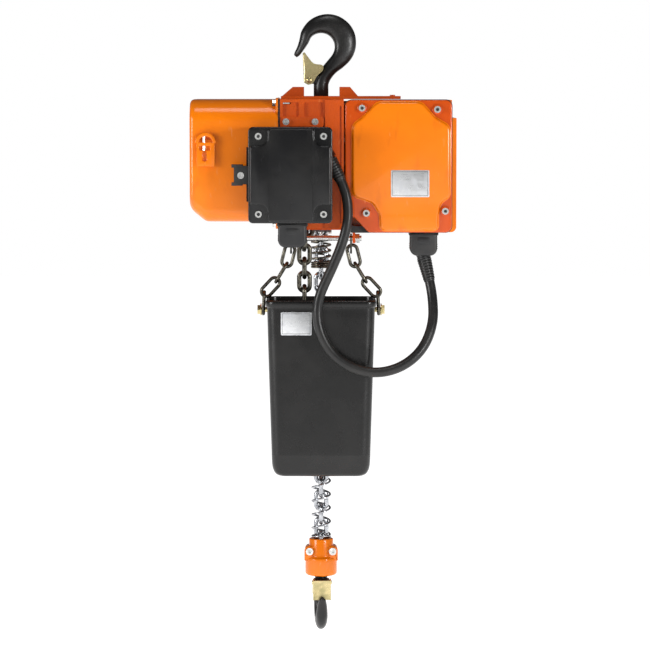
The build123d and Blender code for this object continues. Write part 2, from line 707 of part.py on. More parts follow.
lid_back = control_front - 2.5
lid_front = lid_back - lid_depth
gasket_proud = 0.8
seal = slab_y(
    control_left + 0.5, lid_right + gasket_proud, control_bottom - gasket_proud, control_top + gasket_proud,
    10.0, control_front - seat_gap, lid_back + seat_gap,
)
seal -= slab_y(
    control_left + 9.0, lid_right - 8.0, control_bottom + 9.0, control_top - 9.0,
    6.0, control_front + 1, lid_back - 1,
)
lid = slab_y(control_left, lid_right, control_bottom, control_top, 10.0, lid_back, lid_front)
corner_cut = make_face(
    Polyline(
        (control_left - 2, control_bottom - 2),
        (control_left + 38.0, control_bottom - 2),
        (control_left + 14.0, control_bottom + 22.0),
        (control_left - 2, control_bottom + 22.0 + 8.0),
        close=True,
    )
)
lid -= extrude(Plane.XZ * corner_cut, 300, both=True)
lid = chamfer(lid.faces().sort_by(Axis.Y)[0].edges(), 1.6)
plateau_depth = 3.0
plateau = slab_y(
    control_left + 11.0, lid_right - 4.0, control_bottom + 3.0, control_top - 4.0,
    8.0, lid_front + 1, lid_front - plateau_depth,
)
for x, z in lid_screw_places:
    plateau -= bar_y(18.0, x, lid_front + 1, lid_front - 9, z)
plateau -= extrude(Plane.XZ * offset(corner_cut, 6.0), 300, both=True)
plateau -= block(control_left, 72.0, -150.0, -100.0, -116.0, control_top)
plateau -= block(162.0, lid_right, -150.0, -100.0, -118.0, control_top)
plateau -= block(181.0, lid_right, -150.0, -100.0, control_bottom, -264.0)
plateau = plateau.solids().sort_by(SortBy.VOLUME)[-1]
lid_wall = 3.0
lid = lid + plateau
lid -= slab_y(
    control_left + 9.5, lid_right - 8.5, control_bottom + 30.0, control_top - 30.0,
    6.0, lid_back + 1, lid_front + lid_wall,
)
lid_screws = []
for x, z in lid_screw_places:
    hole = bar_y(2.5 + screw_fit, x, lid_front - 9, control_front + 1, z)
    lid -= hole
    seal -= hole
    lid_screws.append(cap_screw_y(x, z, lid_front - seat_gap, -1, 2.5, 30.0, 5.0, 4.5))
nodes["gaskets"] = group([gasket, seal])
nodes["control_lid"] = lid
plate_face = lid_front - plateau_depth
nodes["rating_plate"] = slab_y(
    104.0, 161.0, -245.0, -205.0, 1.5, plate_face - seat_gap, plate_face - 0.6
)

mount_face = -20.0
nodes["mounting_plate"] = block(
    deep_left + box_wall + 1.0, lid_right - box_wall - 1.0, mount_face + 0.05, mount_face + 2.5,
    control_bottom + 8.0, control_top - 16.0,
) + block(140.0, 160.0, mount_face + 2.0, deep_back - box_wall - 0.05, -215.0, -195.0)
contactors = []
for x0 in (113.0, 153.0):
    body = block(x0, x0 + 36.0, mount_face - 52.0, mount_face, -196.0, -134.0)
    body -= block(x0 - 1, x0 + 37.0, mount_face - 60.0, mount_face - 38.0, -150.0, -133.0)
    body -= block(x0 - 1, x0 + 37.0, mount_face - 60.0, mount_face - 38.0, -197.0, -180.0)
    contactors.append(body)
nodes["contactors"] = group(contactors)
core = block(118.0, 172.0, mount_face - 46.0, mount_face, -288.0, -234.0)
core -= block(127.0, 137.0, mount_face - 50.0, mount_face + 1, -278.0, -244.0)
core -= block(153.0, 163.0, mount_face - 50.0, mount_face + 1, -278.0, -244.0)
winding = block(128.0, 162.0, mount_face - 54.0, mount_face - 46.1, -277.0, -245.0)
winding += block(128.0, 136.0, mount_face - 50.0, mount_face - 2, -277.0, -245.0)
winding += block(154.0, 162.0, mount_face - 50.0, mount_face - 2, -277.0, -245.0)
nodes["transformer"] = group([core, winding])
terminals = []
for i in range(8):
    x0 = 112.0 + 9.5 * i
    terminal = block(x0, x0 + 9.3, mount_face - 30.0, mount_face, -228.0, -204.0)
    terminals.append(terminal - bar_y(2.6, x0 + 4.65, mount_face - 31, mount_face - 20, -216.0))
nodes["terminal_block"] = group(terminals)

# ---- Junction box on the front -------------------------------------------------------------------
waist = -150.0
rear_right = -2.0
front_shell = slab_y(
    junction_left, junction_right, junction_bottom, junction_top, 7.0, junction_front, waist
)
rear_shell = slab_y(
    junction_left, rear_right, junction_bottom, junction_top, 7.0, waist + 0.01, junction_back
)
junction = front_shell + rear_shell
junction -= slab_y(
    junction_left + box_wall, junction_right - box_wall, junction_bottom + box_wall, junction_top - box_wall,
    5.0, junction_front - 1, waist - box_wall,
)
junction -= slab_y(
    junction_left + box_wall, rear_right - box_wall, junction_bottom + box_wall, junction_top - box_wall,
    5.0, waist - box_wall - 1, junction_back - box_wall,
)
junction_lid_back = junction_front - seat_gap
junction_lid_front = junction_front - 8.0
plate_front = junction_lid_front - 6.0
jlid = slab_y(
    junction_left, junction_right, junction_bottom, junction_top, 7.0, junction_lid_back, junction_lid_front
)
jlid = fillet(jlid.faces().sort_by(Axis.Y)[0].edges(), 2.5)
raised = slab_y(
    junction_left + 3, junction_right - 3, junction_bottom + 3, junction_top - 3,
    5.0, junction_lid_front + 1, plate_front,
)
inset_x = 15.0
inset_z = 13.5
junction_screw_places = [
    (x, z)
    for x in (junction_left + inset_x, junction_right - inset_x + 2.0)
    for z in (junction_bottom + inset_z, junction_top - inset_z)
]
for x, z in junction_screw_places:
    corner_x = math.copysign(8.0, x + 45.0)
    corner_z = math.copysign(8.0, z + 211.0)
    raised -= bar_y(14.0, x, junction_lid_front + 2, plate_front - 2, z)
    raised -= block(x - 14, x + 14, junction_lid_front, plate_front - 2, z, z + 2.5 * corner_z)
    raised -= block(x, x + 2.5 * corner_x, junction_lid_front, plate_front - 2, z - 14, z + 14)
raised = fillet(raised.faces().sort_by(Axis.Y)[0].edges(), 2.0)
jlid += raised
junction_screws = []
for x, z in junction_screw_places:
    jlid -= bar_y(2.5 + screw_fit, x, junction_lid_front - 5, junction_front + 1, z)
    post = bar_y(5.5, x, junction_front, waist - 2.0, z)
    wall_z = junction_top - 1.0 if z > axis_z else junction_bottom + 1.0
    post += block(x - 2.5, x + 2.5, junction_front, waist - 2.0, z, wall_z)
    junction += post - bar_y(2.5 + screw_fit, x, junction_front - 1, waist - 5, z)
    junction_screws.append(cap_screw_y(x, z, junction_lid_front - seat_gap, -1, 2.5, 18.0, 5.0, 4.0))
nodes["junction_box"] = junction
nodes["junction_lid"] = jlid
bracket_back = body_front - seat_gap
bracket_front = junction_back + seat_gap
bracket = block(
    junction_left - 4.0, column_left - 0.5, bracket_front, bracket_back, -252.0, -171.0
)
nodes["junction_bracket"] = bracket

frame_screws = [
    cap_screw_y(x, frame_screw_z, body_front - 5.0 - seat_gap, -1, 3.0, 14.0, 5.0, 4.0)
    for x in frame_screw_x
]

gland_end = Vector(13.5, -136.0, -190.0)
gland_way = Vector(-21.5, 3.0, 36.0).normalized()
gland_start = gland_end + gland_way * 20.0
gland_body = Plane(gland_end, z_dir=gland_way) * Pos(0, 0, 10.0) * Cylinder(9.6, 20.0)
gland_nut = Plane(gland_end, z_dir=gland_way) * Pos(0, 0, 3.0) * extrude(RegularPolygon(11.5, 6), 8.0)
nodes["cable_gland"] = (
    gland_body
    + gland_nut
    + Pos(*gland_start) * Sphere(9.6)
    + bar_x(9.6, rear_right + seat_gap, gland_start.X, gland_start.Y, gland_start.Z)
) - block(-40.0, rear_right + seat_gap, -160.0, -110.0, -220.0, -120.0)


def plug_body(x0, x1, z_low, z_high, y):
    """Moulded plug housing, rounded below, with a recessed oval on its front."""
    depth = 34.0
    shell = slab_y(x0, x1, z_low, z_high + 14.0, 11.0, y - 0.5 * depth, y + 0.5 * depth)
    shell -= block(x0 - 1, x1 + 1, y - depth, y + depth, z_high, z_high + 30.0)
    collar = slab_y(
        x0 - 1.5, x1 + 1.5, z_high - 5.0, z_high + 9.0, 2.0, y - 0.5 * depth - 1.5, y + 0.5 * depth + 1.5
    )
    collar -= block(x0 - 5, x1 + 5, y - depth, y + depth, z_high, z_high + 30.0)
    middle = 0.5 * (x0 + x1)
    oval_z = z_high - 9.5
    oval = slab_y(
        middle - 10.0, middle + 10.0, oval_z - 4.8, oval_z + 4.8, 4.5, y - depth, y - 0.5 * depth + 1.2
    )
    return shell + collar - oval


nodes["pendant_plug"] = plug_body(-63.5, -21.0, -318.6, junction_bottom - seat_gap, plug_y)
cable_end = Vector(155.0, -93.5, -340.0)
cable_way = Vector(-6.5, 4.0, 25.0).normalized()
supply = plug_body(133.0, 174.0, -333.6, control_bottom - seat_gap, right_plug_y)
boot = Plane(cable_end, z_dir=cable_way) * Pos(0, 0, 6.0) * Cylinder(9.5, 12.0)
nodes["supply_plug"] = supply + boot
connector_y = plug_y
connector = block(-128.5, junction_left - seat_gap, connector_y - 15, connector_y + 15, -225.0, -198.0)
connector += block(-132.0, -116.0, connector_y - 16, connector_y + 16, -227.0, -222.5)
connector += block(-132.0, -116.0, connector_y - 16, connector_y + 16, -200.5, -196.0)
connector -= bar_y(5.6, -118.5, connector_y - 20, connector_y - 7, -212.0)
nodes["side_connector"] = connector
connector_screw = cap_screw_y(-118.5, -212.0, connector_y - 11.0, -1, 2.4, 3.9, 5.0, 4.0)

# ---- Supply cable --------------------------------------------------------------------------------
cable_points = [
    gland_end,
    Vector(35.0, -139.0, -226.0),
    Vector(42.0, -142.0, -270.0),
    Vector(33.0, -144.0, -311.0),
    Vector(15.0, -146.0, -353.0),
    Vector(-5.5, -148.5, -396.0),
    Vector(-5.0, -150.5, -437.0),
    Vector(12.5, -152.0, -474.0),
    Vector(44.0, -152.0, -498.5),
    Vector(83.0, -151.0, -507.0),
    Vector(122.0, -147.0, -497.0),
    Vector(152.5, -138.0, -471.5),
    Vector(168.0, -124.0, -434.0),
    Vector(167.5, -106.5, -397.0),
    Vector(161.5, -97.5, -365.0),
    cable_end,
]


def corner_radii(points):
    """Radius at each inner point: 0.45 of the shorter run over the tangent of half the turn."""
    radii = []
    for before, here, after in zip(points, points[1:], points[2:]):
        run_in = here - before
        run_out = after - here
        shorter = min(run_in.length, run_out.length)
        half_turn = math.radians(0.5 * run_in.get_angle(run_out))
        radii.append(0.45 * shorter / math.tan(half_turn))
    return radii


cable_radii = corner_radii(cable_points)
cable_path = FilletPolyline(*cable_points, radius=cable_radii)
cable = sweep(Plane(cable_path @ 0, z_dir=cable_path % 0) * Circle(cable_radius), path=cable_path)
nodes["control_cable"] = cable
section_volume = math.pi * cable_radius**2 * cable_path.length
print("cable radii", [round(r) for r in cable_radii])
print(
    "cable length", round(cable_path.length, 1), "volume ratio", round(cable.volume / section_volume, 5)
)

# ---- Chain outlet, limit plate and the buffer above it -------------------------------------------
outlet_bottom = frame_bottom - 10.0
outlet_hole = 0.5 * link_width + 1.5
guide_pin = 2.5
guide_pin_y = 16.5
outlet = block(-18.0, 16.0, -20.0, 20.0, outlet_bottom, frame_bottom - seat_gap)
outlet -= bar_z(outlet_hole, 0, 0, outlet_bottom - 1, frame_bottom + 1)
outlet_screw_places = [(x, y) for x in (-13.5, 12.5) for y in (-15.5, 15.5)]
outlet_screws = []
for x, y in outlet_screw_places:
    outlet -= bar_z(2.0 + screw_fit, x, y, outlet_bottom - 1, frame_bottom + 1)
    frame -= bar_z(2.0 + screw_fit, x, y, frame_bottom - 1, frame_bottom + 7.0)
    head = bar_z(3.6, x, y, outlet_bottom - 2.6, outlet_bottom - seat_gap)
    outlet_screws.append(head + bar_z(2.0, x, y, outlet_bottom - 1, frame_bottom + 6.0))
limit_travel = 4.0
plate_high = outlet_bottom - limit_travel - 3.0
plate_low = plate_high - 3.0
limit_plate = block(-16.0, 16.0, -20.0, 20.0, plate_low, plate_high)
limit_plate -= bar_z(outlet_hole, 0, 0, plate_low - 1, plate_high + 1)
pin_top = frame_bottom - limit_travel - 1.0
for y in (-guide_pin_y, guide_pin_y):
    outlet -= bar_z(guide_pin + shaft_fit, 0, y, outlet_bottom - 1, frame_bottom + 1)
    limit_plate += bar_z(guide_pin, 0, y, plate_high - 1, pin_top)
nodes["chain_outlet"] = outlet
nodes["cover_screws"] = group(
    lid_screws + junction_screws + frame_screws + outlet_screws + [connector_screw]
)
nodes["limit_plate"] = limit_plate

upper_spring_radius = 0.5 * link_width + 1.1 + 0.5 * spring_wire
upper_spring_low = -360.0
closed_pitch = spring_wire + 0.15
closed_turns = 3
open_low = upper_spring_low + 0.5 * spring_wire + closed_turns * closed_pitch
open_turns = 4
open_pitch = (plate_low - seat_gap - 0.5 * spring_wire - open_low - 0.3) / open_turns
closed_coil = coil_spring(
    upper_spring_radius, 0.5 * spring_wire, upper_spring_low + 0.5 * spring_wire, closed_turns, closed_pitch
)
open_coil = coil_spring(upper_spring_radius, 0.5 * spring_wire, open_low, open_turns, open_pitch)
nodes["upper_buffer_spring"] = closed_coil + open_coil

# ---- Hanger of the chain bag ---------------------------------------------------------------------
bracket_low = rod_z - 7.0
rod_ears = (-54.0, 49.5)
hanger = block(
    rod_ears[0] - 2, rod_ears[1] + 2, bag_y - 10.0, bag_y + 3.5, frame_bottom - 4.0, frame_bottom + 1
)
for x in rod_ears:
    width = 4.0
    right = x + 0.5 * width
    hanger += block(right - width, right, bag_y - 8.0, bag_y + 8.0, bracket_low, frame_bottom + 1)
for x in rod_ears:
    hanger -= bar_x(rod_radius + shaft_fit, x - 4, x + 4, bag_y, rod_z)
frame += hanger
rod_left, rod_right = rod_ears[0] - 11.0, rod_ears[1] + 11.5
rod = bar_x(rod_radius, rod_left, rod_right, bag_y, rod_z)
nut_width = 6.5
rod_nuts = [
    hexagon_x(13.0, x0, x0 + nut_width, bag_y, rod_z) - bar_x(
        rod_radius, x0 - 1, x0 + nut_width + 1, bag_y, rod_z
    )
    for x0 in (rod_ears[0] - 2.0 - seat_gap - nut_width, rod_ears[1] + 2.0 + seat_gap)
]
nodes["hanger_rod"] = group([rod] + rod_nuts)
hanger_plate_x = 45.2
crown_z = rod_z - 10.5
hanger_plates = []
for side in (-1, 1):
    x = side * hanger_plate_x
    plate = block(x - 1.4, x + 1.4, bag_y - 9.0, bag_y + 9.0, rod_z - 23.0, rod_z + 7.0)
    plate = chamfer(plate.edges().filter_by(Axis.X), 5.0)
    plate -= bar_x(rod_radius + 2 * shaft_fit, x - 3, x + 3, bag_y, rod_z)
    plate -= bar_x(0.5 * sling_wire + 0.9, x - 3, x + 3, bag_y, crown_z)
    hanger_plates.append(plate)
nodes["hanger_plates"] = group(hanger_plates)


def sling_link():
    return link(sling_wire, sling_pitch + 2.0, sling_width)


sling_step = sling_pitch + 1.6
sling_angles = (14, 31, 43, 3)
crown_reach = 0.5 * (sling_pitch + 2.0 + sling_wire)
first_lean = math.radians(sling_angles[0])
sling_start = (
    hanger_plate_x + crown_reach * math.sin(first_lean),
    bag_y,
    crown_z - crown_reach * math.cos(first_lean),
)
right_links, last_link = walking_links(sling_start, sling_angles, 0, sling_link, sling_step)
left_links = [mirror(piece, Plane.YZ) for piece in right_links]
nodes["bag_slings"] = group(right_links + left_links)

# ---- Chain bag -----------------------------------------------------------------------------------
bag = bag_form(0, bag_top, bag_bottom)
rim_height = 9.0
rim_outline = RectangleRounded(2 * bag_half_top + 3.0, bag_depth + 3.0, 15.0)
bag += Pos(0, bag_y, bag_top - rim_height) * extrude(rim_outline, rim_height)
bag -= bag_form(bag_wall, bag_top + 2.0, bag_bottom + bag_wall)
bag_bolt_z = last_link[2] - 0.5 * sling_pitch - 1.0 + 4.0
bag_bolts = []
for side in (-1, 1):
    inside = side * (bag_half_top - 8.0)
    outside = side * (last_link[0] + 0.5 * sling_wire + 1.0)
    bag -= bar_x(4.0 + screw_fit, inside - side, side * 95.0, bag_y, bag_bolt_z)
    bolt = bar_x(3.9, inside, outside + side * 1.0, bag_y, bag_bolt_z)
    bolt += bar_x(9.0, outside, outside + side * 1.6, bag_y, bag_bolt_z)
    hex_low = min(outside + side * 1.5, outside + side * 6.0)
    bolt += hexagon_x(13.0, hex_low, hex_low + 4.5, bag_y, bag_bolt_z)
    nut_far = side * (bag_half_top - 11.0)
    nut_near = side * (bag_half_top - bag_wall - 1.0)
    bag_bolts.append(bolt + bar_x(6.5, nut_far, nut_near, bag_y, bag_bolt_z))
nodes["chain_bag"] = bag
nodes["bag_bolts"] = group(bag_bolts)
nodes["bag_label"] = slab_y(-60.0, -14.0, -451.5, -417.0, 1.0, bag_front - seat_gap, bag_front - 0.6)

pile = []
row_links = 5
row_gap = link_width + 1.2
for layer in range(2):
    for row in range(3):
        for i in range(row_links):
            x = (i - 0.5 * (row_links - 1)) * pitch
            lying = Rot(0, 90, 0) * Rot(0, 0, 90 * ((i + layer) % 2)) * load_link()
            z = bag_bottom + bag_wall + 0.5 * link_width + 0.3 + layer * row_gap
            pile.append(Pos(x, bag_y + (row - 1) * row_gap, z) * lying)
nodes["stored_chain"] = group(pile)

slack_links, _ = walking_links(
    (0, slack_y, axis_z - pitch),
    (0, -8, -16, -22, -16, -8, 0, 0, 0, 0),
    0,
    load_link,
    pitch - 0.15,
)
nodes["slack_chain"] = group(slack_links[1:])  # the first link would catch the sheave's teeth

# ---- Load chain and hook block -------------------------------------------------------------------
load_links = 27
first_z = axis_z - 2 * pitch  # the first link clear of the turning sheave
nodes["load_chain"] = group(hanging_links(0, 0, first_z, load_links, 90))
last_z = first_z - (load_links - 1) * pitch
anchor_radius = 0.5 * wire
anchor_z = last_z - 0.5 * pitch + anchor_radius + 0.1

lower_spring_low = block_top + 0.5 * spring_wire + 0.1
lower_pitch = 21.0
lower_turns = 4.6
lower_closed = coil_spring(spring_radius, 0.5 * spring_wire, lower_spring_low, 1, closed_pitch)
lower_open = coil_spring(
    spring_radius, 0.5 * spring_wire, lower_spring_low + closed_pitch, lower_turns, lower_pitch
)
nodes["buffer_spring"] = lower_closed + lower_open

cavity_top = block_shoulder + 5.0
cavity_floor = block_bottom + 8.0
lower_shank = shank_radius * hook_ratio
lower_stem = stem_radius * hook_ratio
lower_shank_top = lower_seat - shank_end * hook_ratio
body = bar_z(neck_radius, 0, 0, block_shoulder - 1, block_top)
body = chamfer(body.faces().sort_by(Axis.Z)[-1].edges(), 1.5)
barrel = bar_z(barrel_radius, 0, 0, block_bottom, block_shoulder)
barrel = fillet(barrel.faces().sort_by(Axis.Z)[0].edges(), 5.0)
barrel = fillet(barrel.faces().sort_by(Axis.Z)[-1].edges(), 3.0)
body += barrel
block_bolt_x = 17.8
block_bolt_z = block_top - 18.5
boss_half = 14.2
for side in (-1, 1):
    body += bar_y(8.0, side * block_bolt_x, -boss_half, boss_half, block_bolt_z)
    body += block(
        side * block_bolt_x - 8.0, side * block_bolt_x + 8.0, -boss_half, boss_half, block_shoulder, block_bolt_z
    ) & bar_z(barrel_radius, 0, 0, block_shoulder, block_bolt_z)
body -= bar_z(0.5 * link_width + 0.7, 0, 0, cavity_top - 1, block_top + 1)
body -= bar_z(19.0, 0, 0, cavity_floor, cavity_top)
body -= bar_z(lower_shank + shaft_fit, 0, 0, block_bottom - 1, cavity_floor + 1)
body -= bar_x(anchor_radius + screw_fit, -13.7, 13.7, 0, anchor_z)
for side in (-1, 1):
    body -= bar_y(3.5, side * block_bolt_x, -20.0, 20.0, block_bolt_z)
half_space = block(-60.0, 60.0, -60.0, -seat_gap, block_bottom - 5, block_top + 5)
nodes["hook_block_front"] = body & half_space
nodes["hook_block_rear"] = body & mirror(half_space, Plane.XZ)
anchor_pin = bar_x(anchor_radius, -13.5, 13.5, 0, anchor_z)
block_bolts = []
for side in (-1, 1):
    x = side * block_bolt_x
    bolt = cap_screw_y(x, block_bolt_z, -boss_half - seat_gap, -1, 3.4, 2 * boss_half + 4, 5.6, 5.0)
    block_bolts.append(bolt + bar_y(5.6, x, boss_half + seat_gap, boss_half + 5.0, block_bolt_z))
nodes["block_bolts_and_pin"] = group(block_bolts + [anchor_pin])

lower_stem_end = -(cavity_top - 3.0 - lower_seat) / hook_ratio
lower_latch_half = lower_ear_half + latch_gap
nodes["lower_hook"] = lower_place(hook_body(*lower_ear, lower_ear_half, lower_neck, lower_stem_end))
lower_latch = [
    lower_place(latch_body(*lower_ear, lower_latch_half)),
    lower_place(latch_pin(*lower_ear, lower_latch_half)),
]
nodes["lower_latch"] = group(lower_latch)
bearing_top = lower_shank_top - 0.4
nodes["lower_thrust_bearing"] = ring_z(
    18.0, lower_shank + 0.4, 0, 0, cavity_floor + seat_gap, bearing_top - seat_gap
)
lower_nut = ring_z(16.5, lower_stem + 0.02, 0, 0, bearing_top, cavity_top - 3.0)
nodes["lower_hook_nut"] = lower_nut - bar_z(lower_shank + 0.01, 0, 0, bearing_top - 1, lower_shank_top)

nodes["main_frame"] = frame

# ---- Write one file for each sub-part ------------------------------------------------------------
os.makedirs("parts", exist_ok=True)
for name, solid in nodes.items():
    export_step(solid, "parts/" + name + ".step")
print(len(nodes), "sub-parts written")
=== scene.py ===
import json
import math

import bpy
import numpy as np
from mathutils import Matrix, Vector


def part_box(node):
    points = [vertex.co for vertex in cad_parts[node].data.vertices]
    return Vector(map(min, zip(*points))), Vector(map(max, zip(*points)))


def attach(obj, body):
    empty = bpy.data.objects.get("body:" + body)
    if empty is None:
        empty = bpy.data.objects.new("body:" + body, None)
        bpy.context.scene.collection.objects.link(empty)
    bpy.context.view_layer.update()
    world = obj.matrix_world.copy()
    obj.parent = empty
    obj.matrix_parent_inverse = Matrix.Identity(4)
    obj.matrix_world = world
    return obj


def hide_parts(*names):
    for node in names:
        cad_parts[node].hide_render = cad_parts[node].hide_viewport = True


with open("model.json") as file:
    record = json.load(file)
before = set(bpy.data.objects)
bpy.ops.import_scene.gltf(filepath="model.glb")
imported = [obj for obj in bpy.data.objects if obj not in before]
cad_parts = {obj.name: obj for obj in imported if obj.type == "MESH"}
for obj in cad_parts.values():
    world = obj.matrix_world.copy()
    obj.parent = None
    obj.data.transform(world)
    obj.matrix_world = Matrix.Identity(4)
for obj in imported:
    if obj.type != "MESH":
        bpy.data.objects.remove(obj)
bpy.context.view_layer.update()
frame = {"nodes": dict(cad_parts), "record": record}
nodes = frame["nodes"]

# ---- Camera, floor and lights -------------------------------------------------------------------
# The hoist hangs over a flat white floor. The room is white to the camera and dimmer to the metal,
# and soft lights stand at the left, the right and above.
aim = np.array([0.006, -0.100, -0.438])
camera_distance = 4.5
camera_pitch = math.radians(4.5)
floor_z = -0.935

camera_data = bpy.data.cameras.new("studio_camera")
camera_data.lens = 166.0
camera_data.sensor_width = 36.0
camera = bpy.data.objects.new("studio_camera", camera_data)
camera.location = (
    aim[0],
    aim[1] - camera_distance * math.cos(camera_pitch),
    aim[2] + camera_distance * math.sin(camera_pitch),
)
camera.rotation_euler = (math.radians(90.0) - camera_pitch, 0.0, 0.0)
bpy.context.scene.collection.objects.link(camera)
bpy.context.scene.camera = camera
bpy.context.scene.view_settings.view_transform = "Standard"


def soft_light(name, place, target, size, watts):
    """Square area light of that size in metres that faces the target."""
    data = bpy.data.lights.new(name, "AREA")
    data.shape = "SQUARE"
    data.size = size
    data.energy = watts
    light = bpy.data.objects.new(name, data)
    light.location = place
    away = light.location - type(light.location)(target)
    light.rotation_euler = away.to_track_quat("Z", "Y").to_euler()
    bpy.context.scene.collection.objects.link(light)


soft_light("left_light", (-2.3, -1.5, 0.1), (0.0, 0.0, -0.35), 1.0, 38.0)
soft_light("right_light", (1.7, -2.0, 0.0), (0.0, 0.0, -0.35), 0.45, 30.0)
soft_light("top_light", (0.1, -1.2, 2.2), (0.0, 0.0, -0.2), 0.9, 14.0)

world = bpy.data.worlds.new("studio_room")
world.use_nodes = True
world.node_tree.nodes["Background"].inputs["Color"].default_value = (1.0, 1.0, 1.0, 1.0)
room_way = world.node_tree.nodes.new("ShaderNodeTexCoord")
room_parts = world.node_tree.nodes.new("ShaderNodeSeparateXYZ")
room_light = world.node_tree.nodes.new("ShaderNodeMapRange")
for socket, number in zip(("From Min", "From Max", "To Min", "To Max"), (-0.30, 0.35, 0.50, 0.08)):
    room_light.inputs[socket].default_value = number
world.node_tree.links.new(room_way.outputs["Generated"], room_parts.inputs["Vector"])
world.node_tree.links.new(room_parts.outputs["Z"], room_light.inputs["Value"])
camera_ray = world.node_tree.nodes.new("ShaderNodeLightPath")
white_behind = world.node_tree.nodes.new("ShaderNodeMath")
white_behind.operation = "MAXIMUM"
world.node_tree.links.new(room_light.outputs["Result"], white_behind.inputs[0])
world.node_tree.links.new(camera_ray.outputs["Is Camera Ray"], white_behind.inputs[1])
world.node_tree.links.new(white_behind.outputs["Value"], world.node_tree.nodes["Background"].inputs["Strength"])
bpy.context.scene.world = world


def quad_faces(rows, columns, wrap_rows, wrap_columns):
    """Quads that join each point of a grid to the next along both ways. A wrapped way joins its last line to its
    first."""
    index = np.arange(rows * columns).reshape(rows, columns)
    along = np.roll(index, -1, 1)
    across = np.roll(index, -1, 0)
    corner = np.roll(along, -1, 0)
    quads = np.stack([index, along, corner, across], axis=-1)
    quads = quads if wrap_rows else quads[:-1]
    quads = quads if wrap_columns else quads[:, :-1]
    return quads.reshape(-1, 4)


def skin_of_grid(points, wrap_rows=False, wrap_columns=True, capped=True):
    """Points (mm) and faces of a surface on a grid of rings. Capped, each end ring closes with a fan about its
    middle."""
    rows, columns = points.shape[:2]
    faces = quad_faces(rows, columns, wrap_rows, wrap_columns).tolist()
    flat = points.reshape(-1, 3)
    if capped:
        first, last = np.arange(columns), (rows - 1) * columns + np.arange(columns)
        middles = np.array([points[0].mean(0), points[-1].mean(0)])
        start, end = len(flat), len(flat) + 1
        faces += np.stack([np.roll(first, -1), first, np.full(columns, start)], -1).tolist()
        faces += np.stack([last, np.roll(last, -1), np.full(columns, end)], -1).tolist()
        flat = np.concatenate([flat, middles])
    return flat, faces


def outward(skin):
    """Turns every face of a closed skin over when its volume, summed over fans of each face, is negative."""
    points, faces = skin
    sides = np.array([len(face) for face in faces])
    volume = 0.0
    for count in np.unique(sides):
        chosen = np.array([face for face, n in zip(faces, sides) if n == count])
        for k in range(1, count - 1):
            a, b, c = points[chosen[:, 0]], points[chosen[:, k]], points[chosen[:, k + 1]]
            volume += np.einsum("ij,ij->i", a, np.cross(b, c)).sum()
    return skin if volume >= 0 else (points, [face[::-1] for face in faces])


def put_piece(name, skins, finish, body, stands_for=(), crease=35.0):
    """One mesh object from several skins in millimetres, smooth except over edges sharper than the crease angle."""
    points, faces, base = [], [], 0
    for skin_points, skin_faces in skins:
        points.append(skin_points)
        faces += [[base + i for i in face] for face in skin_faces]
        base += len(skin_points)
    mesh = bpy.data.meshes.new(name)
    mesh.from_pydata((np.concatenate(points) * 0.001).tolist(), [], faces)
    mesh.validate()
    mesh.shade_smooth()
    mesh.set_sharp_from_angle(angle=math.radians(crease))
    mesh.materials.append(finish)
    piece = bpy.data.objects.new(name, mesh)
    bpy.context.scene.collection.objects.link(piece)
    if body is None:
        return piece
    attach(piece, body)
    if stands_for:
        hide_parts(*stands_for)
    return piece


def new_finish(name, colour, roughness, metallic=0.0, coat=0.0, specular=0.5):
    """A finish whose even values sit on the shader's own sockets."""
    finish = bpy.data.materials.new(name)
    finish.use_nodes = True
    shader = finish.node_tree.nodes["Principled BSDF"]
    shader.inputs["Base Color"].default_value = (*colour, 1.0)
    shader.inputs["Roughness"].default_value = roughness
    shader.inputs["Metallic"].default_value = metallic
    shader.inputs["Coat Weight"].default_value = coat
    shader.inputs["Coat Roughness"].default_value = 0.12
    shader.inputs["Specular IOR Level"].default_value = specular
    return finish


floor_finish = new_finish("studio_floor", (0.93, 0.93, 0.93), 0.9, specular=0.1)
floor_finish.node_tree.nodes["Principled BSDF"].inputs["Emission Color"].default_value = (1.0, 1.0, 1.0, 1.0)
floor_finish.node_tree.nodes["Principled BSDF"].inputs["Emission Strength"].default_value = 1.0
floor_x, floor_y = np.meshgrid(np.linspace(-9000.0, 9000.0, 10), np.linspace(-9000.0, 9000.0, 10))
floor_grid = np.stack([floor_x, floor_y, np.full_like(floor_x, 1000.0 * floor_z)], -1)
floor_skin = skin_of_grid(floor_grid, wrap_columns=False, capped=False)
put_piece("studio_floor_plane", [floor_skin], floor_finish, None)


# ---- Supply cable -------------------------------------------------------------------------------
# Round flexible cable, 15 mm over its black rubber jacket, from the gland on the junction box down
# past the chain bag and up to the plug under the controls. It hangs free in a wide loop.
def field(finish, size, detail=2.0, stretch=(1.0, 1.0, 1.0), shift=(0.0, 0.0, 0.0)):
    """Soft noise from 0 to 1 fixed to the piece; size is the width of one blotch in metres."""
    tree = finish.node_tree
    place = tree.nodes.get("place") or tree.nodes.new("ShaderNodeTexCoord")
    place.name = "place"
    scale = tree.nodes.new("ShaderNodeMapping")
    scale.inputs["Scale"].default_value = [s / size for s in stretch]
    scale.inputs["Location"].default_value = shift
    tree.links.new(place.outputs["Object"], scale.inputs["Vector"])
    noise = tree.nodes.new("ShaderNodeTexNoise")
    noise.inputs["Scale"].default_value = 1.0
    noise.inputs["Detail"].default_value = detail
    tree.links.new(scale.outputs["Vector"], noise.inputs["Vector"])
    return noise.outputs["Fac"]


def between(finish, value, low, high, out_low=0.0, out_high=1.0):
    """The value's stretch from low to high carried to out_low to out_high, clamped at both ends."""
    node = finish.node_tree.nodes.new("ShaderNodeMapRange")
    for socket, number in zip(("From Min", "From Max", "To Min", "To Max"), (low, high, out_low, out_high)):
        node.inputs[socket].default_value = number
    finish.node_tree.links.new(value, node.inputs["Value"])
    return node.outputs["Result"]


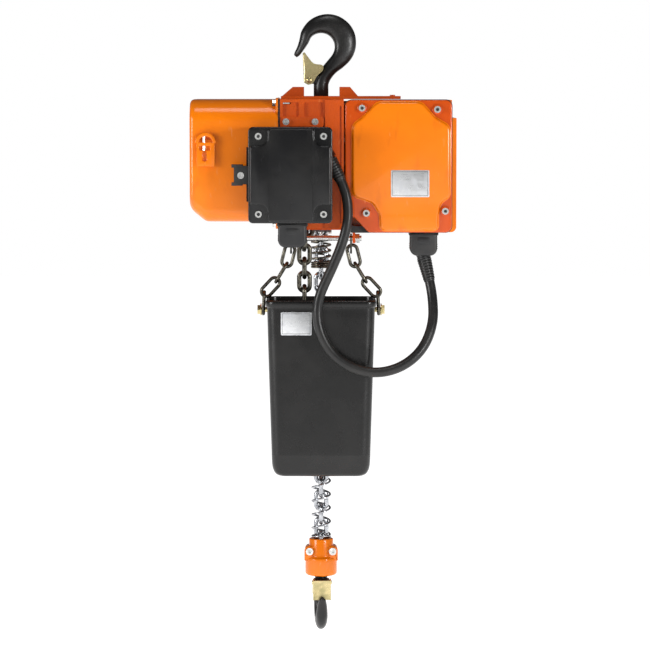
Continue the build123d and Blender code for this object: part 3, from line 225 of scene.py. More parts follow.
def combine(finish, first, second, how="MULTIPLY"):
    """Two values joined by one sum, product or the larger of them."""
    node = finish.node_tree.nodes.new("ShaderNodeMath")
    node.operation = how
    for socket, value in zip(node.inputs, (first, second)):
        if isinstance(value, float):
            socket.default_value = value
        else:
            finish.node_tree.links.new(value, socket)
    return node.outputs["Value"]


def blend_colours(finish, share, first, second):
    """Colour that goes from the first to the second as the share goes from 0 to 1."""
    node = finish.node_tree.nodes.new("ShaderNodeMix")
    node.data_type = "RGBA"
    finish.node_tree.links.new(share, node.inputs["Factor"])
    for socket, colour in zip((node.inputs[6], node.inputs[7]), (first, second)):
        if isinstance(colour, tuple):
            socket.default_value = (*colour, 1.0)
        else:
            finish.node_tree.links.new(colour, socket)
    return node.outputs[2]


def drive(finish, socket, value):
    """Joins a value or colour to one of the shader's sockets."""
    shader = finish.node_tree.nodes["Principled BSDF"]
    finish.node_tree.links.new(value, shader.inputs[socket])


def relief(finish, heights):
    """Bump of several height fields, each with its depth in metres, one laid over the other."""
    tree, below = finish.node_tree, None
    for height, depth in heights:
        bump = tree.nodes.new("ShaderNodeBump")
        bump.inputs["Distance"].default_value = depth
        bump.inputs["Strength"].default_value = 1.0
        tree.links.new(height, bump.inputs["Height"])
        if below is not None:
            tree.links.new(below, bump.inputs["Normal"])
        below = bump.outputs["Normal"]
    tree.links.new(below, tree.nodes["Principled BSDF"].inputs["Normal"])


def black_finish(name, deep, dusty, smooth, dull, grain_size, grain_depth, specular=0.5):
    """Black rubber, plastic or paint: a fine grain, faint dust in soft patches, and small dull rubs."""
    finish = new_finish(name, deep, smooth, specular=specular)
    dust = between(finish, field(finish, 0.045, 4.0), 0.42, 0.72)
    rubs = between(finish, field(finish, 0.009, 3.0, (1.0, 1.0, 0.35)), 0.60, 0.70)
    drive(finish, "Base Color", blend_colours(finish, dust, deep, dusty))
    drive(finish, "Roughness", between(finish, combine(finish, dust, rubs, "ADD"), 0.0, 1.4, smooth, dull))
    relief(finish, [(field(finish, 0.02, 1.0), 0.00012), (field(finish, grain_size, 2.0), grain_depth)])
    return finish


cable_rubber = black_finish(
    "cable_rubber", (0.012, 0.012, 0.012), (0.022, 0.021, 0.020), 0.28, 0.48, 0.0012, 0.00005, 0.35
)
cable_diameter = 0.015
cable_route = [
    (0.0135, -0.1360, -0.1900),
    (0.0350, -0.1390, -0.2260),
    (0.0420, -0.1420, -0.2700),
    (0.0330, -0.1440, -0.3110),
    (0.0150, -0.1460, -0.3530),
    (-0.0055, -0.1485, -0.3960),
    (-0.0050, -0.1505, -0.4370),
    (0.0125, -0.1520, -0.4740),
    (0.0440, -0.1520, -0.4985),
    (0.0830, -0.1510, -0.5070),
    (0.1220, -0.1470, -0.4970),
    (0.1525, -0.1380, -0.4715),
    (0.1680, -0.1240, -0.4340),
    (0.1675, -0.1065, -0.3970),
    (0.1615, -0.0975, -0.3650),
    (0.1550, -0.0935, -0.3400),
]
cable_curve = bpy.data.curves.new("supply_cable", "CURVE")
cable_curve.dimensions = "3D"
cable_spline = cable_curve.splines.new("NURBS")
cable_spline.points.add(len(cable_route) - 1)
cable_spline.points.foreach_set("co", np.array([(*p, 1.0) for p in cable_route]).ravel())
cable_spline.order_u = 3
cable_spline.use_endpoint_u = True
cable_curve.resolution_u = 16
supply_cable = bpy.data.objects.new("supply_cable", cable_curve)
bpy.context.scene.collection.objects.link(supply_cable)
bpy.context.view_layer.update()
centre_line = bpy.data.meshes.new_from_object(supply_cable)
cable_line = np.array([v.co for v in centre_line.vertices]) * 1000.0
bpy.data.meshes.remove(centre_line)
cable_curve.bevel_depth = 0.5 * cable_diameter
cable_curve.bevel_resolution = 6
cable_curve.use_fill_caps = True
cable_curve.materials.append(cable_rubber)
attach(supply_cable, "hoist_body")
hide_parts("control_cable")


def sleeve_on_cable(reach, radius):
    """Rings round the cable's line. At each reach (mm from the line's start) the ring stands square to the line,
    with its radius in mm."""
    run = np.concatenate([[0.0], np.cumsum(np.linalg.norm(np.diff(cable_line, axis=0), axis=1))])
    reach = np.where(np.array(reach) < 0, run[-1] + np.array(reach), reach)
    centre = np.stack([np.interp(reach, run, cable_line[:, k]) for k in range(3)], -1)
    ahead = np.stack([np.interp(reach + 1.5, run, cable_line[:, k]) for k in range(3)], -1)
    behind = np.stack([np.interp(reach - 1.5, run, cable_line[:, k]) for k in range(3)], -1)
    way = (ahead - behind) / np.linalg.norm(ahead - behind, axis=1)[:, None]
    side = np.cross(way, (0.0, 1.0, 0.0))
    side /= np.linalg.norm(side, axis=1)[:, None]
    front = np.cross(side, way)
    turn = np.linspace(0.0, 2.0 * math.pi, 40, endpoint=False)
    circle = np.cos(turn)[None, :, None] * side[:, None] + np.sin(turn)[None, :, None] * front[:, None]
    return centre[:, None] + np.array(radius)[:, None, None] * circle


# Strain reliefs: ribbed tapering rubber sleeves moulded on where the cable leaves the gland and
# where it enters the plug's boot.
relief_reach = np.linspace(0.0, 34.0, 86)
relief_ribs = 0.55 * (0.5 + 0.5 * np.cos(2.0 * math.pi * relief_reach / 4.2)) ** 0.7
relief_taper = np.interp(relief_reach, [0.0, 3.0, 30.0, 33.2, 34.0], [10.4, 10.2, 8.4, 8.1, 7.55])
relief_taper += relief_ribs * (relief_reach < 31.0)
gland_relief = put_piece(
    "gland_strain_relief",
    [outward(skin_of_grid(sleeve_on_cable(relief_reach, relief_taper)))],
    cable_rubber,
    "hoist_body",
)
plug_relief = put_piece(
    "plug_strain_relief",
    [outward(skin_of_grid(sleeve_on_cable(-0.01 - relief_reach, relief_taper)))],
    cable_rubber,
    "hoist_body",
)


# ---- Hooks --------------------------------------------------------------------------------------
# Two drop-forged hooks of one shape, the lower one smaller. The bowl's section is widest inside and
# thins to a rounded back, the shank is turned, and the forging is painted satin black.
black_forging = black_finish(
    "black_forging", (0.008, 0.008, 0.008), (0.019, 0.018, 0.017), 0.28, 0.46, 0.0045, 0.00018, 0.40
)
hook_outside = np.array(
    [
        (-41.2, -33.2), (-40.2, -29.0), (-36.2, -20.5), (-33.3, -11.0), (-29.5, 4.0), (-19.0, 18.1), (-4.5, 26.5),
        (12.0, 28.95), (28.5, 24.9), (43.0, 14.0), (51.5, -1.0), (53.2, -18.0), (49.9, -32.0), (43.0, -43.0),
        (33.0, -52.5), (22.5, -60.5),
    ]
)
hook_inside = np.array(
    [
        (-37.2, -36.8), (-32.6, -33.6), (-25.8, -24.8), (-19.5, -15.4), (-14.9, -6.35), (-8.2, -1.7), (0.0, 0.0),
        (8.2, -1.7), (14.9, -6.35), (19.5, -13.8), (20.7, -20.7), (19.8, -26.8), (16.6, -33.5), (10.5, -41.0),
        (3.0, -50.0), (-4.5, -59.5),
    ]
)
hook_half_depth = np.array(
    [2.2, 5.6, 8.2, 9.6, 10.6, 11.0, 11.0, 11.0, 11.0, 11.0, 11.0, 11.0, 11.0, 11.0, 11.0, 11.2]
)


def smooth_line(knots, steps):
    """Curve through the knots, each stretch a cubic whose end slopes run parallel to the knots either side."""
    knots = np.asarray(knots, float).reshape(len(knots), -1)
    padded = np.concatenate([2 * knots[:1] - knots[1:2], knots, 2 * knots[-1:] - knots[-2:-1]])
    t = np.linspace(0.0, 1.0, steps, endpoint=False)[None, :, None]
    before, here, there, after = (padded[k : len(padded) - 3 + k, None] for k in range(4))
    curve = 0.5 * (
        2 * here
        + (there - before) * t
        + (2 * before - 5 * here + 4 * there - after) * t**2
        + (3 * here - before - 3 * there + after) * t**3
    )
    return np.concatenate([curve.reshape(-1, knots.shape[1]), knots[-1:]])


def forged_hook(neck_z, shank_z, stem_z):
    """Rings across the hook: each spans from its inside to its outside line, with a section that is an oval whose
    half depth shrinks towards the back; then round rings down the shank and the thinner stem."""
    outer = smooth_line(np.concatenate([hook_outside, [(14.6, 0.9 * neck_z), (11.25, neck_z)]]), 7)
    inner = smooth_line(np.concatenate([hook_inside, [(-9.4, 0.88 * neck_z), (-11.25, neck_z)]]), 7)
    depth = smooth_line(np.concatenate([hook_half_depth, [11.25, 11.25]]), 7)[:, 0]
    shank = np.array([(11.25, shank_z), (10.0, shank_z - 1.2), (10.0, stem_z + 1.0), (9.0, stem_z)])
    outer = np.concatenate([outer, shank])
    inner = np.concatenate([inner, shank * (-1.0, 1.0)])
    depth = np.concatenate([depth, shank[:, 0]])
    share = np.linspace(0.0, 1.0, len(depth))
    roundness = np.clip((share - 0.72) / 0.14, 0.0, 1.0)[:, None]
    turn = np.linspace(0.0, 2.0 * math.pi, 44, endpoint=False)[None]
    along = np.sign(np.cos(turn)) * np.abs(np.cos(turn)) ** (0.82 + 0.18 * roundness)
    across = np.sign(np.sin(turn)) * np.abs(np.sin(turn)) ** (0.82 + 0.18 * roundness)
    across = across * (1.0 - (1.0 - roundness) * (0.17 + 0.17 * along))
    across = across / np.abs(across).max(1, keepdims=True)
    middle, reach = 0.5 * (outer + inner), 0.5 * (outer - inner)
    flat = middle[:, None] + along[..., None] * reach[:, None]
    return np.stack([flat[..., 0], depth[:, None] * across, flat[..., 1]], -1)


def lay(u, v, depth, plane):
    """Points whose u and v run along the plane's two axes, with depth along the third."""
    order = {"XZ": (u, depth, v), "YZ": (depth, u, v), "XY": (u, v, depth)}[plane]
    return np.stack(np.broadcast_arrays(*order), -1)


def rounded_outline(corners, radii, steps=7):
    """Closed outline through the corners, each rounded by an arc of its radius that touches both of its sides."""
    corners = np.asarray(corners, float)
    radii = np.broadcast_to(np.asarray(radii, float), len(corners))[:, None]
    back = np.roll(corners, 1, 0) - corners
    ahead = np.roll(corners, -1, 0) - corners
    back /= np.linalg.norm(back, axis=1)[:, None]
    ahead /= np.linalg.norm(ahead, axis=1)[:, None]
    half = 0.5 * np.arccos(np.clip((back * ahead).sum(1), -0.9999, 0.9999))[:, None]
    middle = back + ahead
    middle /= np.linalg.norm(middle, axis=1)[:, None]
    centre = corners + middle * radii / np.sin(half)
    first = (corners + back * radii / np.tan(half) - centre)[:, None]
    last = (corners + ahead * radii / np.tan(half) - centre)[:, None]
    sweep = (math.pi - 2 * half)[:, None]
    t = np.linspace(0.0, 1.0, steps)[None, :, None]
    arc = (np.sin((1 - t) * sweep) * first + np.sin(t * sweep) * last) / np.sin(sweep)
    return (centre[:, None] + arc).reshape(-1, 2)


def soft_ends(start, end, round_start, round_end, steps=5):
    """Positions from start to end, and how far the outline is drawn in at each: a quarter circle at both ends."""
    turn = np.linspace(0.0, 0.5 * math.pi, steps)
    side = math.copysign(1.0, end - start)
    first = start + side * round_start * (1 - np.cos(turn)), round_start * (1 - np.sin(turn))
    last = end - side * round_end * (1 - np.sin(turn)), round_end * (1 - np.cos(turn))
    return np.concatenate([first[0], last[0]]), np.concatenate([first[1], last[1]])


def plate_skin(outline, position, inset, plane):
    """Closed plate: at each position the outline is drawn in by the inset along its own normals."""
    tangent = np.roll(outline, -1, 0) - np.roll(outline, 1, 0)
    tangent /= np.maximum(np.linalg.norm(tangent, axis=1), 1e-9)[:, None]
    x, y = outline[:, 0], outline[:, 1]
    turning = np.sign((x * np.roll(y, -1) - np.roll(x, -1) * y).sum())
    inward = np.stack([-tangent[:, 1], tangent[:, 0]], -1) * turning
    rings = outline[None] + inset[:, None, None] * inward[None]
    points = lay(rings[..., 0], rings[..., 1], position[:, None], plane)
    flat, faces = skin_of_grid(points, capped=False)
    count = len(outline)
    faces += [list(range(count))[::-1], list(range(len(flat) - count, len(flat)))]
    return outward((flat, faces))


def slab(outline, start, end, round_start, round_end, plane="XZ"):
    """Plate of that outline from start to end, with its rims rounded."""
    return plate_skin(outline, *soft_ends(start, end, round_start, round_end), plane)


def latch_ear(place, half):
    """Forged lug beside the neck that carries the latch's pin."""
    x, z = place
    outline = rounded_outline(
        [(x - 5.4, z - 5.4), (-4.0, z - 6.5), (-2.0, z + 7.0), (x - 5.4, z + 5.4)], [5.2, 2.0, 2.0, 5.2]
    )
    return slab(outline, -half, half, 1.6, 1.6)


def turned_z(degrees):
    """Rotation matrix about the vertical."""
    c, s = math.cos(math.radians(degrees)), math.sin(math.radians(degrees))
    return np.array([(c, -s, 0.0), (s, c, 0.0), (0.0, 0.0, 1.0)])


lower_seat = 1000.0 * frame["record"]["mounts"][1]["pos_m"][2]
lower_ratio = 0.85
lower_turn = turned_z(4.0 - 90.0) @ np.diag([-1.0, 1.0, -1.0]) * lower_ratio


def to_lower_hook(skin):
    """The same shape turned over, made smaller and carried to the lower hook's seat."""
    return skin[0] @ lower_turn.T + (0.0, 0.0, lower_seat), skin[1]


upper_ear, lower_ear = (-18.0, -71.0), (-19.0, -61.0)
upper_hook_skins = [outward(skin_of_grid(forged_hook(-78.0, -95.0, -140.0))), latch_ear(upper_ear, 9.0)]
upper_hook = put_piece(
    "suspension_hook_forging", upper_hook_skins, black_forging, "suspension_hook", ["upper_hook"], 50.0
)
lower_stem = -(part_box("lower_hook")[1].z * 1000.0 - lower_seat) / lower_ratio
lower_hook_skins = [
    to_lower_hook(outward(skin_of_grid(forged_hook(-70.0, -95.0, lower_stem)))),
    to_lower_hook(latch_ear(lower_ear, 14.0)),
]
lower_hook = put_piece(
    "load_hook_forging", lower_hook_skins, black_forging, "load_hook", ["lower_hook"], 50.0
)

# ---- Safety latches -----------------------------------------------------------------------------
# Folded from 1.6 mm sheet into a channel that straddles the hook, plated in yellow zinc, and held
# by a riveted pin.


def plated_finish(name, bright, tinted, smooth, dull, tint_size):
    """Zinc plate: crystals and thin stains that change its tint and its gloss, with fine rub lines."""
    finish = new_finish(name, bright, smooth, metallic=1.0)
    stain = between(finish, field(finish, tint_size, 4.0), 0.38, 0.66)
    crystals = field(finish, 0.0016, 2.0)
    drive(finish, "Base Color", blend_colours(finish, stain, bright, tinted))
    drive(
        finish, "Roughness", between(finish, combine(finish, stain, crystals, "ADD"), 0.4, 1.6, smooth, dull)
    )
    relief(finish, [(crystals, 0.00004), (field(finish, 0.006, 2.0, (0.3, 1.0, 3.0)), 0.00006)])
    return finish


yellow_zinc = plated_finish("yellow_zinc", (0.70, 0.58, 0.30), (0.50, 0.44, 0.22), 0.26, 0.44, 0.009)


def latch_channel(ear, half):
    """Skin of a folded channel: rings run from the pin to the mouth, each a U round the hook with rounded folds."""
    x, z = ear
    back = smooth_line([(x - 7.9, z - 6.0), (x - 8.0, z - 4.0), (-27.9, -30.2)][1:], 12)
    root = np.array(
        [
            (x - 2.0, z - 7.4), (x + 5.4, z - 5.0), (x + 12.0, z + 6.0), (2.8, z + 15.0), (2.0, z + 22.5),
            (-11.0, 0.5 * (z + 22.0) - 21.5), (-19.5, -36.5), (-25.0, -29.0),
        ]
    )
    front = smooth_line(root, 3)
    back = np.stack(
        [np.interp(np.linspace(0, 1, len(front)), np.linspace(0, 1, len(back)), back[:, k]) for k in (0, 1)],
        -1,
    )
    fold = np.linspace(0.0, 0.5 * math.pi, 6)
    corner = 2.6
    outer_y = np.concatenate(
        [[-half], -half + corner * (1 - np.cos(fold)), half - corner * (1 - np.cos(fold[::-1])), [half]]
    )
    outer_s = np.concatenate(
        [[1.0], corner / 26.0 * (1 - np.sin(fold)), corner / 26.0 * (1 - np.sin(fold[::-1])), [1.0]]
    )
    wall = 1.6
    inner_y = np.sign(outer_y) * np.minimum(np.abs(outer_y), half - wall)
    inner_s = np.where(outer_s < 0.5, np.maximum(outer_s, wall / 26.0), outer_s)
    y = np.concatenate([outer_y, inner_y[::-1]])
    s = np.concatenate([outer_s, inner_s[::-1]])
    flat = back[:, None] + s[None, :, None] * (front - back)[:, None]
    rings = np.stack([flat[..., 0], np.broadcast_to(y, flat.shape[:2]), flat[..., 1]], -1)
    points, faces = skin_of_grid(rings, capped=False)
    count = len(y)
    half_count = count // 2
    ends = []
    for base in (0, len(points) - count):
        a = base + np.arange(half_count - 1)
        b = base + count - 1 - np.arange(half_count - 1)
        ends += np.stack([a, a + 1, b - 1, b], -1).tolist()
    first, last = ends[: half_count - 1], ends[half_count - 1 :]
    return outward((points, faces + [face[::-1] for face in first] + last))


def pin_along_y(place, half, radius, head):
    """Round pin with domed rivet heads at both ends: circles whose radius follows the pin's profile."""
    position = np.array(
        [-half - head, -half - 0.8 * head, -half - 0.3 * head, -half, -half]
        + [half, half, half + 0.3 * head, half + 0.8 * head, half + head],
    )
    size = radius * np.array([0.7, 1.35, 1.65, 1.7, 1.0, 1.0, 1.7, 1.65, 1.35, 0.7])
    turn = np.linspace(0.0, 2.0 * math.pi, 28, endpoint=False)
    u = place[0] + size[:, None] * np.cos(turn)
    v = place[1] + size[:, None] * np.sin(turn)
    return outward(skin_of_grid(lay(u, v, position[:, None], "XZ")))


upper_latch = put_piece(
    "suspension_latch_channel",
    [latch_channel(upper_ear, 13.1), pin_along_y(upper_ear, 13.4, 2.5, 1.5)],
    yellow_zinc,
    "suspension_latch",
    ["upper_latch"],
)
lower_latch = put_piece(
    "load_latch_channel",
    [to_lower_hook(latch_channel(lower_ear, 16.1)), to_lower_hook(pin_along_y(lower_ear, 16.4, 2.5, 1.8))],
    yellow_zinc,
    "load_latch",
    ["lower_latch"],
)


# ---- Frame castings -----------------------------------------------------------------------------
# Main frame, top plate with its trolley ears, and gear case: aluminium sand castings, sprayed
# orange over a visible cast skin, with dirt and rubbed scuffs in random patches.
def orange_finish(name, bright, shaded, smooth, dull, cast_depth, coat):
    """Orange enamel: slow drifts of tone, fine orange peel, small chips and rubbed scuffs, over a cast skin."""
    finish = new_finish(name, bright, smooth, coat=coat, specular=0.28)
    drift = between(finish, field(finish, 0.11, 3.0), 0.35, 0.68)
    grime = between(finish, field(finish, 0.022, 5.0, (1.0, 1.0, 0.4)), 0.60, 0.80, 0.0, 0.55)
    scuff = between(finish, field(finish, 0.006, 4.0, (1.0, 1.0, 0.3)), 0.66, 0.74)
    toned = blend_colours(finish, drift, bright, shaded)
    soiled = blend_colours(finish, grime, toned, (0.50, 0.095, 0.004))
    drive(
        finish, "Base Color", blend_colours(finish, combine(finish, scuff, 0.35), soiled, (0.75, 0.26, 0.07))
    )
    drive(finish, "Roughness", between(finish, combine(finish, drift, scuff, "ADD"), 0.0, 1.6, smooth, dull))
    relief(
        finish,
        [
            (field(finish, 0.014, 2.0), 0.6 * cast_depth),
            (field(finish, 0.0042, 2.0), cast_depth),
            (field(finish, 0.0013, 1.0), 0.25 * cast_depth),
        ],
    )
    return finish


orange_paint = orange_finish(
    "orange_paint", (0.84, 0.195, 0.0020), (0.74, 0.160, 0.0018), 0.16, 0.28, 0.00003, 0.30
)
orange_casting = orange_finish(
    "orange_casting", (0.60, 0.082, 0.0025), (0.46, 0.056, 0.0020), 0.24, 0.42, 0.00020, 0.20
)
# The same orange paint, darker and deeper: painted shade for the lid's flange and its screw bosses.
orange_painted_shade = orange_finish(
    "orange_painted_shade", (0.58, 0.072, 0.0020), (0.48, 0.056, 0.0018), 0.18, 0.30, 0.00004, 0.30
)


def refinish(finish, *names):
    """Gives CAD nodes a finish and leaves their meshes as they are."""
    for name in names:
        slots = nodes[name].material_slots
        for slot in slots:
            slot.material = finish
        if not len(slots):
            nodes[name].data.materials.append(finish)


refinish(orange_casting, "main_frame", "top_plate", "gear_case")

# ---- Motor cover --------------------------------------------------------------------------------
# Deep-drawn looking aluminium die casting, 3 mm thick, closed at the left. Large radii run along
# its top, its lower left end slopes, and four lugs at the right take the housing bolts.
body_front, body_back, body_top, body_bottom = -116.6, 63.4, -100.0, -283.0
cover_left, cover_right, end_radius = -196.0, -64.0, 7.0


def box_rings(low_u, high_u, low_v, high_v, radii, steps=10):
    """Rounded rectangles, one for each station. Each corner is a quarter circle; the radii go round from the high,
    high corner by way of the low u, high v one."""
    low_u, high_u, low_v, high_v, *radii = np.broadcast_arrays(low_u, high_u, low_v, high_v, *radii)
    radius = np.stack(radii, -1)[..., None]
    centre_u = [high_u - radii[0], low_u + radii[1], low_u + radii[2], high_u - radii[3]]
    centre_v = [high_v - radii[0], high_v - radii[1], low_v + radii[2], low_v + radii[3]]
    centre_u, centre_v = np.stack(centre_u, -1)[..., None], np.stack(centre_v, -1)[..., None]
    angle = np.arange(4)[:, None] * 0.5 * math.pi + np.linspace(0.0, 0.5 * math.pi, steps)[None]
    u = centre_u + radius * np.cos(angle)
    v = centre_v + radius * np.sin(angle)
    return u.reshape(len(u), -1), v.reshape(len(v), -1)


def cover_shell(inset, right):
    """Rings along the motor: the lower edge follows the slope at the left end, and the end face rounds off."""
    bend = np.linspace(0.0, 1.0, 9) ** 2 * (end_radius - 0.6 * inset)
    straight = [60.0, 100.0, right - cover_left - inset]
    x = cover_left + inset + np.concatenate([bend, np.linspace(9.0, 34.0, 14), straight])
    reach = x - cover_left - inset
    radius = end_radius - 0.6 * inset
    drawn = radius - np.sqrt(np.maximum(radius**2 - (radius - np.minimum(reach, radius)) ** 2, 0.0))
    slope = body_bottom - 1.0 + 22.0 * (cover_left + 25.0 - x) / 26.0 + inset
    floor_line = body_bottom + inset
    low = 0.5 * (slope + floor_line + np.sqrt((slope - floor_line) ** 2 + 6.0))
    drawn_in = inset + drawn
    top_r, low_r = np.maximum(34.0 - drawn_in, 2.0), np.maximum(20.0 - drawn_in, 2.0)
    u, v = box_rings(
        body_front + drawn_in, body_back - drawn_in, low + drawn, body_top - drawn_in, (top_r, top_r, low_r, low_r), 12
    )
    return lay(u, v, x[:, None], "YZ")


outside = cover_shell(0.0, cover_right)
inside = cover_shell(3.0, cover_right)
cover_skins = [outward(skin_of_grid(np.concatenate([outside, inside[::-1]])))]
for y, z in [(y, z) for z in (-105.5, -285.5) for y in (body_front + 6.5, body_back - 6.5)]:
    y_in, z_in = y + math.copysign(15.0, -26.6 - y), z + math.copysign(15.0, -195.0 - z)
    y_out, z_out = y - math.copysign(7.6, -26.6 - y), z - math.copysign(7.6, -195.0 - z)
    lug = rounded_outline([(y_out, z_out), (y_in, z_out), (y_in, z_in), (y_out, z_in)], [7.0, 2.0, 2.0, 2.0])
    cover_skins.append(slab(lug, -67.5, -64.0, 0.8, 0.3, "YZ"))

# The cast lug on the front: a plate with a T-shaped slot, and over it an arch that holds a pin.
lug_front = body_front - 8.0
slot_floor = lug_front + 5.0
plate_outline = rounded_outline([(-185.0, -199.5), (-158.0, -199.5), (-158.0, -160.0), (-185.0, -160.0)], 2.0)
left_of_slot = [
    (-185.0, -199.5), (-173.25, -199.5), (-173.25, -192.0), (-176.5, -192.0), (-176.5, -176.0), (-181.0, -176.0),
    (-181.0, -169.0), (-173.25, -169.0), (-173.25, -164.0), (-185.0, -164.0),
]
right_of_slot = [
    (-173.25, -199.5), (-158.0, -199.5), (-158.0, -164.0), (-173.25, -164.0), (-173.25, -169.0), (-165.0, -169.0),
    (-165.0, -176.0), (-170.0, -176.0), (-170.0, -192.0), (-173.25, -192.0),
]
arch_turn = np.linspace(0.0, math.pi, 26)
arch = np.concatenate(
    [
        np.stack([-171.5 + 15.6 * np.cos(arch_turn), -165.0 + 15.6 * np.sin(arch_turn)], -1),
        np.stack([-171.5 - 10.3 * np.cos(arch_turn), -165.0 + 10.3 * np.sin(arch_turn)], -1),
    ]
)
cover_skins += [
    slab(plate_outline, body_front + 1.0, slot_floor, 0.0, 0.3),
    slab(rounded_outline(left_of_slot, [1.5] + [0.4] * 9, 4), slot_floor + 0.4, lug_front, 0.0, 0.3),
    slab(rounded_outline(right_of_slot, [0.4, 1.5] + [0.4] * 8, 4), slot_floor + 0.4, lug_front, 0.0, 0.3),
    slab(arch, body_front + 1.0, lug_front, 0.0, 1.2),
]
motor_cover = put_piece("motor_cover_casting", cover_skins, orange_paint, "hoist_body", ["motor_cover"], 40.0)

# ---- Control box and lid ------------------------------------------------------------------------
# The box is a deep aluminium casting bolted to the frame. Its lid is a pressed shell with a raised
# panel that is cut back round the four screws, and a black rubber seal shows all round its rim.
refinish(orange_paint, "control_box")
gasket_rubber = black_finish(
    "gasket_rubber", (0.010, 0.010, 0.010), (0.020, 0.019, 0.018), 0.55, 0.75, 0.0009, 0.00004
)
refinish(gasket_rubber, "gaskets")
lid_back, lid_front, panel_front = -114.5, -123.5, -129.5
lid_outline = rounded_outline(
    [(71.0, -298.0), (50.5, -276.5), (36.0, -269.5), (36.0, -101.0), (195.0, -101.0), (195.0, -298.0)],
    [6.0, 8.0, 8.0, 10.0, 10.0, 10.0],
)
panel_outline = rounded_outline(
    [
        (89.0, -294.5), (88.0, -271.0), (77.0, -253.0), (47.0, -243.0), (47.0, -138.0), (61.0, -128.0), (84.0, -104.5),
        (149.0, -104.5), (169.0, -127.0), (191.5, -140.0), (191.5, -244.0), (178.0, -254.0), (174.0, -272.0),
        (174.0, -294.5),
    ],
    [7.0, 16.0, 14.0, 12.0, 14.0, 10.0, 16.0, 16.0, 12.0, 14.0, 12.0, 12.0, 14.0, 7.0],
    9,
)


def round_outline(x, z, radius, steps=24):
    """Circle seen from the front."""
    turn = np.linspace(0.0, 2.0 * math.pi, steps, endpoint=False)
    return np.stack([x + radius * np.cos(turn), z + radius * np.sin(turn)], -1)


def stepped_slab(lower, upper, back, step, front, round_step, round_front):
    """Lid in one piece: the lower outline's plate from back to step, and the upper outline's panel rising from the
    step with a hollow at its foot and a rounded rim at its top."""
    foot = np.linspace(0.0, 0.5 * math.pi, 5)
    rise = abs(front - step)
    hollow = min(0.45 * rise, round_step)
    side = math.copysign(1.0, front - step)
    position = np.concatenate(
        [step + side * hollow * (1 - np.cos(foot)), front - side * min(0.5 * rise, round_front) * (1 - np.sin(foot))]
    )
    inset = np.concatenate([-hollow * (1 - np.sin(foot)), round_front * (1 - np.cos(foot))])
    return [slab(lower, back, step, 0.6, 1.8), plate_skin(upper, position, inset, "XZ")]


lid_flange, lid_panel = stepped_slab(lid_outline, panel_outline, lid_back, lid_front, panel_front, 2.0, 3.4)
lid_screw_places = ((61.0, -113.0), (173.0, -115.0), (67.5, -269.0), (185.0, -266.0))
lid_bosses = [slab(round_outline(x, z, 7.6), lid_front + 1.0, -126.5, 0.2, 1.2) for x, z in lid_screw_places]
control_lid = put_piece("control_lid_panel", [lid_panel], orange_paint, "hoist_body", ["control_lid"], 60.0)
# The flange and its bosses take the darker orange, which is painted shade on the lid's rim.
lid_rim = put_piece("control_lid_flange", [lid_flange, *lid_bosses], orange_painted_shade, "hoist_body")

# ---- Junction box and its plugs -----------------------------------------------------------------
# Two black moulded shells screwed to a bracket, with a lid whose raised plate is cut away round
# its corner screws. Plugs and connector are moulded in the same black nylon, a little greyer.
black_plastic = black_finish(
    "black_plastic", (0.006, 0.006, 0.0065), (0.012, 0.0115, 0.011), 0.20, 0.32, 0.0010, 0.00002, 0.40
)
plug_plastic = black_finish(
    "plug_plastic", (0.020, 0.020, 0.021), (0.038, 0.037, 0.035), 0.38, 0.56, 0.0008, 0.00004, 0.35
)


def box_outline(x0, x1, z0, z1, corner, steps=8):
    """Rectangle with rounded corners, seen from the front."""
    return rounded_outline([(x0, z0), (x1, z0), (x1, z1), (x0, z1)], corner, steps)


junction_shells = [
    slab(box_outline(-107.0, 17.0, -282.0, -140.5, 7.0), -150.0, -170.0, 2.5, 0.4),
    slab(box_outline(-107.0, -2.0, -282.0, -140.5, 7.0), -122.0, -152.0, 2.5, 0.4),
]
junction_box = put_piece("junction_shells", junction_shells, black_plastic, "hoist_body", ["junction_box"])
raised_corners = []
for sx, sz in ((-1, -1), (1, -1), (1, 1), (-1, 1)):
    near_x, near_z = (-104.0 if sx < 0 else 14.0), (-279.0 if sz < 0 else -143.5)
    far_x, far_z = (-77.5 if sx < 0 else -10.5), (-254.0 if sz < 0 else -168.5)
    three = [(near_x, far_z), (far_x, far_z), (far_x, near_z)]
    raised_corners += three if sx * sz > 0 else three[::-1]
raised_outline = rounded_outline(raised_corners, [3.0, 14.0, 3.0] * 4, 9)
junction_lid = put_piece(
    "junction_lid_moulding",
    stepped_slab(
        box_outline(-107.0, 17.0, -282.0, -140.5, 7.0), raised_outline, -170.05, -178.05, -184.05, 0.8, 1.8
    ),
    black_plastic,
    "hoist_body",
    ["junction_lid"],
    50.0,
)
refinish(black_plastic, "junction_bracket")


def plug_skins(x0, x1, low, high, y):
    """Moulded plug body with soft edges, its collar, an oval rim on its front and two shallow grip steps."""
    body = rounded_outline([(x0, low), (x1, low), (x1, high), (x0, high)], [11.0, 11.0, 1.5, 1.5], 9)
    collar = rounded_outline(
        [(x0 - 1.5, high - 5.0), (x1 + 1.5, high - 5.0), (x1 + 1.5, high), (x0 - 1.5, high)], 1.2, 5
    )
    middle, oval_z = 0.5 * (x0 + x1), high - 12.5
    oval = box_outline(middle - 10.5, middle + 10.5, oval_z - 4.8, oval_z + 4.8, 4.6)
    dish = box_outline(middle - 8.8, middle + 8.8, oval_z - 3.2, oval_z + 3.2, 3.1)
    skins = [
        slab(body, y + 17.0, y - 17.0, 4.0, 4.0),
        slab(collar, y + 18.5, y - 18.5, 2.0, 2.0),
        slab(oval, y - 16.0, y - 17.9, 0.2, 0.7),
        slab(dish, y - 16.5, y - 18.5, 0.2, 0.6),
    ]
    for step in (0.0, 3.2, 6.4):
        grip = box_outline(x0 - 0.5, x1 + 0.5, low + 10.0 + step, low + 11.6 + step, 0.7, 4)
        skins.append(slab(grip, y + 15.0, y - 15.0, 1.0, 1.0))
    return skins


